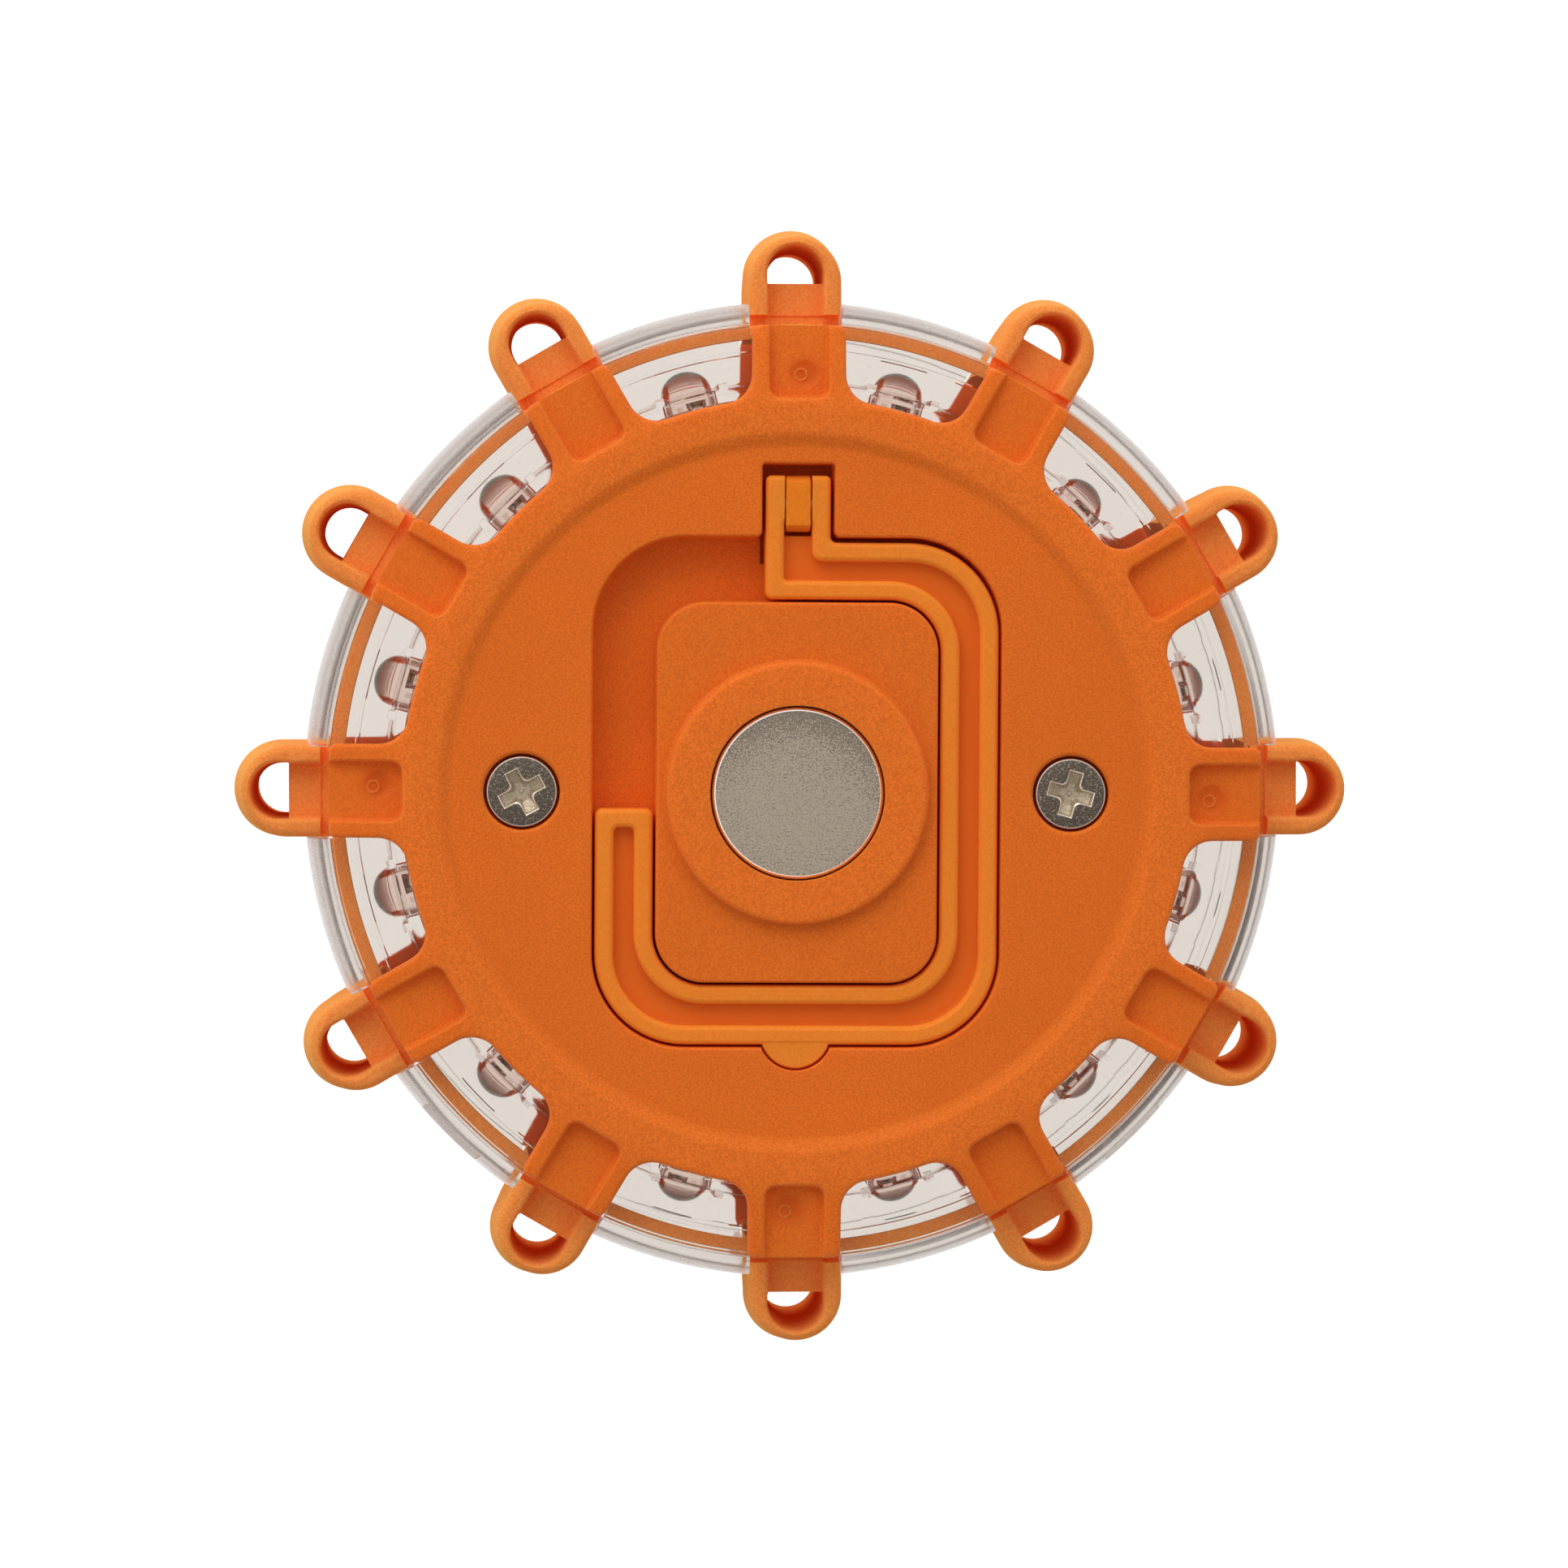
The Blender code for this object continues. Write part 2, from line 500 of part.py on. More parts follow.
# ------------------------------------------------------------------ button and switch
f = 0.4
button = solid_lathe('power_button', [
    (0.0, BUTTON_STEM_Z), (1.6, BUTTON_STEM_Z), (1.6, BUTTON_FLANGE_Z1), (BUTTON_FLANGE_R, BUTTON_FLANGE_Z1),
    (BUTTON_FLANGE_R, BUTTON_FLANGE_Z0), (BUTTON_R, BUTTON_FLANGE_Z0), (BUTTON_R, BUTTON_FACE_Z + f),
    (BUTTON_R - f, BUTTON_FACE_Z), (0.0, BUTTON_FACE_Z)], 24)
finish(button, 'power_button', (0.05, 0.05, 0.05), 0.6, origin=(0, 0, BUTTON_FACE_Z))
finish(cyl('switch_plunger', 0, 0, PLUNGER_R, PLUNGER_Z0, PLUNGER_Z1, 16), 'switch_plunger', (0.03, 0.03, 0.03), 0.5,
       origin=(0, 0, PLUNGER_Z0))
switch = prism('switch_body', rect(-SWITCH_HALF, SWITCH_HALF, -SWITCH_HALF, SWITCH_HALF), SWITCH_Z0, SWITCH_Z1)
cut(switch, cyl('plunger_way', 0, 0, PLUNGER_R + FIT, SWITCH_Z0 - 1.0, SWITCH_BORE_Z, 16))
finish(switch, 'switch_body', (0.25, 0.25, 0.26), 0.4, 0.6)

# ------------------------------------------------------------------ circuit board
board = cyl('circuit_board', 0, 0, BOARD_R, BOARD_Z0, BOARD_Z0 + BOARD_T, 36)
for sx in (-SCREW_X, SCREW_X):
    cut(board, cyl('post_way', sx, 0, 3.8 + FIT, 0.0, 20.0, 20))
for sy in (-STANDOFF_Y, STANDOFF_Y):
    cut(board, cyl('screw_way', 0, sy, 1.3, 0.0, 20.0, 12))
finish(board, 'circuit_board', (0.02, 0.16, 0.07), 0.45)
for k, sy in enumerate((-STANDOFF_Y, STANDOFF_Y)):
    top = BOARD_Z0 + BOARD_T + FIT + 1.3
    finish(cross_screw('s', 0, sy, top, 2.2, 1.3, 1.0, 6.5, 1.3, 0.4), 'board_screw_%d' % (k + 1), (0.5, 0.5, 0.5), 0.3, 1.0)


# ------------------------------------------------------------------ LEDs
def led(name, angle):
    dome = []
    for i in range(3):
        t = (math.pi / 2) * (1 - i / 3)
        dome.append((LED_R * math.cos(t), LED_DOME_U + (LED_TIP_U - LED_DOME_U) * math.sin(t)))
    dome[0] = (0.0, LED_TIP_U)
    prof = dome + [(LED_R, LED_DOME_U), (LED_R, LED_BASE_U + LED_FLANGE_T), (LED_FLANGE_R, LED_BASE_U + LED_FLANGE_T),
                   (LED_FLANGE_R, LED_BASE_U), (0.0, LED_BASE_U)]
    ob = solid_lathe(name, prof, 10)
    # lathe axis Z becomes the radial direction X
    ob.data.transform(Matrix.Translation((0, 0, MID_Z * MM)) @ Matrix.Rotation(math.pi / 2, 4, 'Y'))
    h = LEAD_W / 2
    for v in (-LEAD_PITCH / 2, LEAD_PITCH / 2):
        lead = prism('lead', rect(LEAD_U, LED_BASE_U + 0.4, v - h, v + h), MID_Z - h, MID_Z + h)
        add(lead, prism('drop', rect(LEAD_U, LEAD_U + LEAD_W, v - h, v + h), BOARD_Z0 + BOARD_T + FIT, MID_Z + h * 0.5))
        add(ob, lead)
    ob.data.transform(Matrix.Rotation(angle, 4, 'Z'))
    return ob


for k, a in enumerate(WINDOW_ANGLES):
    finish(led('led', a), 'led_%02d' % (k + 1), (0.92, 0.90, 0.88), 0.08, 0.0, 0.85)

# ------------------------------------------------------------------ battery tray, cells and contacts
tray = prism('battery_tray', rounded_rect(TRAY_HX + TRAY_WALL, TRAY_HY + TRAY_WALL, 2.5, 3), TRAY_Z0, TRAY_Z1)
cut(tray, prism('bay', rect(-TRAY_HX, TRAY_HX, -TRAY_HY, TRAY_HY), TRAY_Z0 + TRAY_FLOOR_T, TRAY_Z1 + 5.0))
for sx in (-CELL_PITCH / 2, CELL_PITCH / 2):
    add(tray, prism('rib', rect(sx - 0.4, sx + 0.4, -18.0, 18.0), TRAY_Z0 + 0.7, CELL_Z - 2.2))
finish(tray, 'battery_tray', (0.04, 0.04, 0.04), 0.55)


def coil(name, y0, y1, x, z):
    """Conical contact spring along Y, wound from the wide end at y0 to the narrow end at y1."""
    bm = bmesh.new()
    steps, sides = SPRING_TURNS * 8, 5
    w = SPRING_WIRE_R
    s = 1.0 if y1 > y0 else -1.0
    ya, yb = y0 + s * w, y1 - s * w
    rings = []
    for i in range(steps + 1):
        t = i / steps
        a = TAU * SPRING_TURNS * t
        r = SPRING_R0 + (SPRING_R1 - SPRING_R0) * t
        y = ya + (yb - ya) * t
        ring_v = []
        for k in range(sides):
            b = TAU * k / sides
            rr = r + w * math.cos(b)
            ring_v.append(bm.verts.new(((x + rr * math.cos(a)) * MM, (y + w * math.sin(b)) * MM, (z + rr * math.sin(a)) * MM)))
        rings.append(ring_v)
    for p, q in zip(rings, rings[1:]):
        for k in range(sides):
            j = (k + 1) % sides
            bm.faces.new((p[k], p[j], q[j], q[k]))
    bm.faces.new(rings[0])
    bm.faces.new(list(reversed(rings[-1])))
    return new_obj(name, bm)


for k in range(3):
    x = (k - 1) * CELL_PITCH
    s = 1.0 if k != 1 else -1.0          # the middle cell lies the other way round
    plate_y = TRAY_HY - FIT
    plate = prism('p', rect(x - 4.4, x + 4.4, min(s * plate_y, s * (plate_y - 0.5)), max(s * plate_y, s * (plate_y - 0.5))),
                  TRAY_Z0 + TRAY_FLOOR_T + FIT, TRAY_Z1 - 0.5)
    finish(plate, 'contact_plate_%d' % (k + 1), (0.65, 0.62, 0.56), 0.3, 1.0)
    nub_y = plate_y - 0.5 - FIT
    base_y = nub_y - NUB_LEN - CELL_LEN
    cell = solid_lathe('c', [(0.0, nub_y), (NUB_R, nub_y), (NUB_R, nub_y - NUB_LEN), (CELL_R - 0.4, nub_y - NUB_LEN),
                             (CELL_R, nub_y - NUB_LEN - 0.4), (CELL_R, base_y), (0.0, base_y)], 16)
    cell.data.transform(Matrix.Translation((x * MM, 0, CELL_Z * MM)) @ Matrix.Rotation(-math.pi / 2 * s, 4, 'X'))
    finish(cell, 'battery_cell_%d' % (k + 1), (0.12, 0.12, 0.13), 0.35, 0.3)
    finish(coil('w', -s * (TRAY_HY - FIT), s * (base_y - FIT), x, CELL_Z), 'contact_spring_%d' % (k + 1), (0.7, 0.7, 0.68), 0.25, 1.0, smooth=60)
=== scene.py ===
"""Looks of the round LED road flare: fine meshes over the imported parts, materials, light and camera.

Lengths in the constants are millimetres; meshes are made in metres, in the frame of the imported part.
"""
import bpy
import bmesh
import math
from mathutils import Matrix, Vector


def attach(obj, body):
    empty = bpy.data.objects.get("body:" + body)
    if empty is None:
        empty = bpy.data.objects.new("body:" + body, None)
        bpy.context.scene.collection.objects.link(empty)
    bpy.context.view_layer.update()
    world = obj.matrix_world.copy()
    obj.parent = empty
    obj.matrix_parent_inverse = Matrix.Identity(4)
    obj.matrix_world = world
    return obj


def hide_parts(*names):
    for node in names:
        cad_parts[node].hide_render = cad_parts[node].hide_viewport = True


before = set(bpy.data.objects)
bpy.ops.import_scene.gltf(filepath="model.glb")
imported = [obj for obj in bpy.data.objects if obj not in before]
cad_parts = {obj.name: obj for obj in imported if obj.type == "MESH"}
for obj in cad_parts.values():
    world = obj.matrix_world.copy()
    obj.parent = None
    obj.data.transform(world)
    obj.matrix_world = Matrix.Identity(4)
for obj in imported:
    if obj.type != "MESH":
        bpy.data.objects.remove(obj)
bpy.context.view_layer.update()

MM = 0.001
TAU = 2.0 * math.pi
HALF = math.pi / 2.0

# ------------------------------------------------------------------ dimensions of the part
FACE_TO_FACE, MID_Z, FIT = 32.4, 16.2, 0.3
DISC_Z, RIM_Z, VALLEY_R = 31.5, 32.1, 38.0
FRONT_DISC_Z, FRONT_RIM_Z = 31.4, 32.4          # the front cover stands on its ring
LEG_END_R, LEG_HALF_W, LEG_FILLET = 44.95, 4.5, 2.9
COVER_UNDER_Z = 29.8
CHANNEL_HALF_W, CHANNEL_R0 = 2.8, 37.95
RECESS_HX, RECESS_HY, RECESS_R, RECESS_FLOOR_Z = 19.7, 24.6, 9.0, 27.0
ISLAND_HX, ISLAND_HY, ISLAND_R, ISLAND_Z = 13.55, 18.3, 4.7, 31.6
NOTCH_HX, NOTCH_Y1, NOTCH_FLOOR_Z = 3.5, 31.65, 25.7
LUG_HX, LUG_R = 1.15, 2.6
BOSS_R, BOSS_Z = 12.6, 32.95
MAGNET_R, MAGNET_T, MAGNET_Z = 8.25, 3.0, 33.0
SCREW_X, SCREW_HEAD_R, SCREW_HEAD_T, SCREW_TOP_Z = 26.45, 3.4, 1.9, 31.2
SCREW_SHANK_R, SCREW_LEN, BORE_R = 1.5, 10.0, 3.66
HOOK_Z0, HOOK_Z1, PIVOT_Y, PIVOT_Z = 27.5, 31.2, 27.8, 29.4
PIN_R, EAR_HALF, EAR_END_Y, HOOK_FREE_END_Y = 0.75, 3.15, 30.5, -1.6
HOOK_RIM, HOOK_GROOVE, HOOK_TOP_GAP = 1.82, 1.45, 0.55
TAB_R, TAB_T, TAB_Y, SCOOP_R, SCOOP_FLOOR_Z = 3.4, 1.0, -23.2, 3.6, 29.9
LENS_TOP_Z, LENS_PLATE_T, LENS_R_IN, LENS_R_OUT, LENS_WALL_R = 29.5, 1.4, 34.0, 47.5, 45.4
LENS_NECK_R0, LENS_NECK_R1 = 38.2, 39.4
HOOP_R0, HOOP_R1, HOOP_Z0, HOOP_Z1 = 43.95, 45.1, 21.8, 26.8
LOOP_TIP_R, LOOP_HALF_W, LOOP_Z0, LOOP_Z1 = 54.8, 4.75, 6.0, 26.4
LOOP_HOLE_R, LOOP_HOLE_U, LOOP_FLOOR_DEPTH, LOOP_TURN = 2.45, 49.45, 2.2, 0.006
LOOP_SHIFT = (0.15, 0.10)
LED_R, LED_FLANGE_R, LED_BASE_U, LED_FLANGE_T, LED_DOME_U, LED_TIP_U = 2.5, 2.9, 36.9, 0.9, 40.1, 42.3
LEAD_U, LEAD_W, LEAD_PITCH = 35.6, 0.5, 2.54
BOARD_TOP_Z = 10.0
BUTTON_R, BUTTON_HOLE_R, BUTTON_FLANGE_R = 7.4, 7.7, 9.0
BUTTON_FACE_Z, BUTTON_FLANGE_Z0, BUTTON_FLANGE_Z1, BUTTON_STEM_Z = 1.2, 2.9, 3.7, 4.0

LOOP_ANGLES = [TAU * k / 12 for k in range(12)]
WINDOW_ANGLES = [TAU * (k + 0.5) / 12 for k in range(12)]


# ------------------------------------------------------------------ mesh helpers
def new_obj(name, bm):
    bmesh.ops.recalc_face_normals(bm, faces=bm.faces[:])
    me = bpy.data.meshes.new(name)
    bm.to_mesh(me)
    bm.free()
    ob = bpy.data.objects.new(name, me)
    bpy.context.scene.collection.objects.link(ob)
    return ob


def loft(name, rings):
    """Closed rings of (x, y, z) with equal point counts, capped at both ends."""
    bm = bmesh.new()
    vs = [[bm.verts.new((x * MM, y * MM, z * MM)) for x, y, z in ring] for ring in rings]
    n = len(vs[0])
    bm.faces.new(list(reversed(vs[0])))
    bm.faces.new(vs[-1])
    for a, b in zip(vs, vs[1:]):
        for i in range(n):
            j = (i + 1) % n
            bm.faces.new((a[i], a[j], b[j], b[i]))
    return new_obj(name, bm)


def prism(name, pts, z0, z1):
    return loft(name, [[(x, y, z0) for x, y in pts], [(x, y, z1) for x, y in pts]])


def ring_lathe(name, prof, seg):
    bm = bmesh.new()
    rings = []
    for k in range(seg):
        a = TAU * k / seg
        rings.append([bm.verts.new((r * MM * math.cos(a), r * MM * math.sin(a), z * MM)) for r, z in prof])
    n = len(prof)
    for k in range(seg):
        p, q = rings[k], rings[(k + 1) % seg]
        for i in range(n):
            j = (i + 1) % n
            bm.faces.new((p[i], p[j], q[j], q[i]))
    return new_obj(name, bm)


def solid_lathe(name, prof, seg):
    """Profile of (r, z) points from the axis at one end to the axis at the other."""
    bm = bmesh.new()
    rings = []
    for r, z in prof:
        if r == 0.0:
            rings.append([bm.verts.new((0.0, 0.0, z * MM))])
        else:
            rings.append([bm.verts.new((r * MM * math.cos(TAU * k / seg), r * MM * math.sin(TAU * k / seg), z * MM))
                          for k in range(seg)])
    for a, b in zip(rings, rings[1:]):
        for k in range(seg):
            j = (k + 1) % seg
            if len(a) == 1:
                bm.faces.new((a[0], b[k], b[j]))
            elif len(b) == 1:
                bm.faces.new((a[k], b[0], a[j]))
            else:
                bm.faces.new((a[k], b[k], b[j], a[j]))
    return new_obj(name, bm)


def arc(cx, cy, r, a0, a1, n):
    return [(cx + r * math.cos(a0 + (a1 - a0) * i / n), cy + r * math.sin(a0 + (a1 - a0) * i / n)) for i in range(n + 1)]


def circle(cx, cy, r, n):
    return [(cx + r * math.cos(TAU * i / n), cy + r * math.sin(TAU * i / n)) for i in range(n)]


def rounded_rect(hx, hy, r, n=14):
    return (arc(hx - r, hy - r, r, 0, HALF, n) + arc(-hx + r, hy - r, r, HALF, 2 * HALF, n)
            + arc(-hx + r, -hy + r, r, 2 * HALF, 3 * HALF, n) + arc(hx - r, -hy + r, r, 3 * HALF, 4 * HALF, n))


def rect(x0, x1, y0, y1):
    return [(x0, y0), (x1, y0), (x1, y1), (x0, y1)]


def tidy(pts, gap=1e-4):
    out = []
    for p in pts:
        if not out or math.dist(p, out[-1]) > gap:
            out.append(p)
    if math.dist(out[0], out[-1]) <= gap:
        out.pop()
    return out


def offset(pts, d):
    """A smooth closed outline moved outwards by d (inwards if negative), point by point."""
    n = len(pts)
    area = sum(pts[i][0] * pts[(i + 1) % n][1] - pts[(i + 1) % n][0] * pts[i][1] for i in range(n))
    s = 1.0 if area > 0 else -1.0
    out = []
    for i in range(n):
        x0, y0 = pts[i - 1]
        x1, y1 = pts[i]
        x2, y2 = pts[(i + 1) % n]
        ax, ay, bx, by = x1 - x0, y1 - y0, x2 - x1, y2 - y1
        la, lb = math.hypot(ax, ay), math.hypot(bx, by)
        n1, n2 = (s * ay / la, -s * ax / la), (s * by / lb, -s * bx / lb)
        k = d / max(0.35, 1.0 + n1[0] * n2[0] + n1[1] * n2[1])
        out.append((x1 + k * (n1[0] + n2[0]), y1 + k * (n1[1] + n2[1])))
    return out


def at(pts, z):
    """Gives an outline its height, a number or a function of x and y."""
    if callable(z):
        return [(x, y, z(x, y)) for x, y in pts]
    return [(x, y, z) for x, y in pts]


def boss(name, pts, z0, z1, r, n=4, draft=0.0):
    """A raised body with rounded top edges, wider by draft at its foot."""
    rings = [at(offset(pts, draft) if draft else pts, z0)]
    for i in range(n + 1):
        t = HALF * i / n
        rings.append(at(offset(pts, -r * (1 - math.cos(t))), z1 - r * (1 - math.sin(t))))
    return loft(name, rings)


def pit(name, pts, floor, top, flare, fillet, n=4, up=4.0, draft=0.0):
    """A cutter that leaves a sunk place with a filleted floor and a rounded brim, narrower by draft at the floor."""
    fl = floor if callable(floor) else (lambda x, y: floor)
    tp = top if callable(top) else (lambda x, y: top)
    rings = []
    for i in range(n):
        t = HALF * (1 - i / n)
        rise = fillet * (1 - math.sin(t))
        rings.append(at(offset(pts, -draft - fillet * (1 - math.cos(t))), lambda x, y, d=rise: fl(x, y) + d))
    rings.append(at(offset(pts, -draft) if draft else pts, lambda x, y: fl(x, y) + fillet))
    last = math.radians(72)
    for i in range(n + 1):
        t = last * i / n
        dz = flare * (math.sin(t) - 1)
        rings.append(at(offset(pts, flare * (1 - math.cos(t))), lambda x, y, d=dz: tp(x, y) + d))
    far = flare * (1 - math.cos(last)) + 0.3 * math.sin(last)
    rings.append(at(offset(pts, far), lambda x, y: tp(x, y) + flare * (math.sin(last) - 1) + 0.3 * math.cos(last)))
    rings.append(at(offset(pts, far), lambda x, y: tp(x, y) + up))
    return loft(name, rings)


def x_cyl(name, y, z, r, x0, x1, n=32):
    ob = prism(name, circle(0, 0, r, n), x0, x1)
    ob.data.transform(Matrix.Translation((0, y * MM, z * MM)) @ Matrix.Rotation(HALF, 4, 'Y'))
    return ob


def cyl(name, x, y, r, z0, z1, n=48):
    return prism(name, circle(x, y, r, n), z0, z1)


def combine(ob, other, op, crossing=False):
    mod = ob.modifiers.new('join', 'BOOLEAN')
    mod.operation = op
    mod.solver = 'EXACT'
    mod.use_self = crossing
    mod.object = other
    dg = bpy.context.evaluated_depsgraph_get()
    dg.update()
    me = bpy.data.meshes.new_from_object(ob.evaluated_get(dg))
    ob.modifiers.clear()
    old = ob.data
    ob.data = me
    bpy.data.meshes.remove(old)
    used = other.data
    bpy.data.objects.remove(other, do_unlink=True)
    bpy.data.meshes.remove(used)
    return ob


def add(ob, other, crossing=False):
    return combine(ob, other, 'UNION', crossing)


def cut(ob, other, crossing=False):
    return combine(ob, other, 'DIFFERENCE', crossing)


def spread(ob, angles):
    bm = bmesh.new()
    src = ob.data
    for a in angles:
        piece = src.copy()
        piece.transform(Matrix.Rotation(a, 4, 'Z'))
        bm.from_mesh(piece)
        bpy.data.meshes.remove(piece)
    bm.to_mesh(src)
    bm.free()
    return ob


def merge(ob, others):
    """Adds the shells of other objects to one mesh, without a boolean."""
    bm = bmesh.new()
    bm.from_mesh(ob.data)
    for o in others:
        bm.from_mesh(o.data)
        me = o.data
        bpy.data.objects.remove(o, do_unlink=True)
        bpy.data.meshes.remove(me)
    bm.to_mesh(ob.data)
    bm.free()
    return ob


def turn_over(ob):
    ob.data.transform(Matrix.Translation((0, 0, FACE_TO_FACE * MM)) @ Matrix.Diagonal((1, 1, -1, 1)))
    ob.data.flip_normals()
    return ob


def piece(ob, name, nodes, body, slot, mats, sharp=38.0, weighted=True):
    """Final clean-up, shading, materials and place of one visible piece."""
    bm = bmesh.new()
    bm.from_mesh(ob.data)
    bmesh.ops.remove_doubles(bm, verts=bm.verts[:], dist=2e-6)
    bmesh.ops.dissolve_degenerate(bm, edges=bm.edges[:], dist=2e-6)
    bmesh.ops.recalc_face_normals(bm, faces=bm.faces[:])
    bm.to_mesh(ob.data)
    bm.free()
    ob.name = name
    ob.data.name = name
    ob.data.shade_smooth()
    ob.data.set_sharp_from_angle(angle=math.radians(sharp))
    ob.data.materials.clear()
    for m in mats:
        ob.data.materials.append(m)
    if weighted:
        w = ob.modifiers.new('even_normals', 'WEIGHTED_NORMAL')
        w.mode = 'FACE_AREA'
        w.weight = 70
        w.keep_sharp = True
    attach(ob, body)
    if nodes:
        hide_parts(*nodes)
    return ob


def let_light_in(ob):
    """Clear pieces neither shade what is inside nor stop the soft light on its way in."""
    ob.visible_shadow = False
    ob.visible_diffuse = False
    return ob


# ------------------------------------------------------------------ materials
class Tree:
    """Small helper around a material's node tree."""

    def __init__(self, name):
        self.mat = bpy.data.materials.new(name)
        self.mat.use_nodes = True
        self.nt = self.mat.node_tree
        self.bsdf = self.nt.nodes['Principled BSDF']
        self.co = self.nt.nodes.new('ShaderNodeTexCoord').outputs['Object']

    def node(self, kind, **props):
        n = self.nt.nodes.new(kind)
        for k, v in props.items():
            setattr(n, k, v)
        return n

    def link(self, a, b):
        self.nt.links.new(a, b)

    def noise(self, scale, detail=3.0, rough=0.55, stretch=None, distortion=0.0):
        n = self.node('ShaderNodeTexNoise')
        n.inputs['Scale'].default_value = scale
        n.inputs['Detail'].default_value = detail
        n.inputs['Roughness'].default_value = rough
        n.inputs['Distortion'].default_value = distortion
        src = self.co
        if stretch:
            m = self.node('ShaderNodeMapping')
            m.inputs['Scale'].default_value = stretch
            self.link(src, m.inputs['Vector'])
            src = m.outputs['Vector']
        self.link(src, n.inputs['Vector'])
        return n.outputs['Fac']

    def remap(self, fac, a, b, lo, hi, clamp=True):
        m = self.node('ShaderNodeMapRange', clamp=clamp)
        m.inputs['From Min'].default_value = a
        m.inputs['From Max'].default_value = b
        m.inputs['To Min'].default_value = lo
        m.inputs['To Max'].default_value = hi
        self.link(fac, m.inputs['Value'])
        return m.outputs['Result']

    def math(self, op, a, b=None):
        m = self.node('ShaderNodeMath', operation=op)
        for i, v in enumerate((a, b)):
            if v is None:
                continue
            if isinstance(v, (int, float)):
                m.inputs[i].default_value = v
            else:
                self.link(v, m.inputs[i])
        return m.outputs['Value']

    def mix(self, fac, a, b, blend='MIX'):
        m = self.node('ShaderNodeMix', data_type='RGBA', blend_type=blend)
        for sock, v in ((m.inputs[0], fac), (m.inputs[6], a), (m.inputs[7], b)):
            if isinstance(v, (int, float)):
                sock.default_value = v
            elif isinstance(v, tuple):
                sock.default_value = (v[0], v[1], v[2], 1.0)
            else:
                self.link(v, sock)
        return m.outputs[2]

    def xyz(self):
        s = self.node('ShaderNodeSeparateXYZ')
        self.link(self.co, s.inputs['Vector'])
        return s.outputs['X'], s.outputs['Y'], s.outputs['Z']

    def radius(self, cx=0.0, cy=0.0):
        """Distance from the axis through (cx, cy), in metres."""
        x, y, _ = self.xyz()
        dx, dy = self.math('SUBTRACT', x, cx * MM), self.math('SUBTRACT', y, cy * MM)
        return self.math('SQRT', self.math('ADD', self.math('MULTIPLY', dx, dx), self.math('MULTIPLY', dy, dy)))

    def bump(self, height, strength, distance, normal=None):
        b = self.node('ShaderNodeBump')
        b.inputs['Strength'].default_value = strength
        b.inputs['Distance'].default_value = distance
        self.link(height, b.inputs['Height'])
        if normal is not None:
            self.link(normal, b.inputs['Normal'])
        return b.outputs['Normal']

    def put(self, **links):
        for k, v in links.items():
            sock = self.bsdf.inputs[k.replace('_', ' ')]
            if isinstance(v, (int, float)):
                sock.default_value = v
            elif isinstance(v, tuple):
                sock.default_value = v if len(v) == len(sock.default_value) else (v[0], v[1], v[2], 1.0)
            else:
                self.link(v, sock)
        return self.mat


def shade(rgb, k):
    return tuple(min(1.0, c * k) for c in rgb)


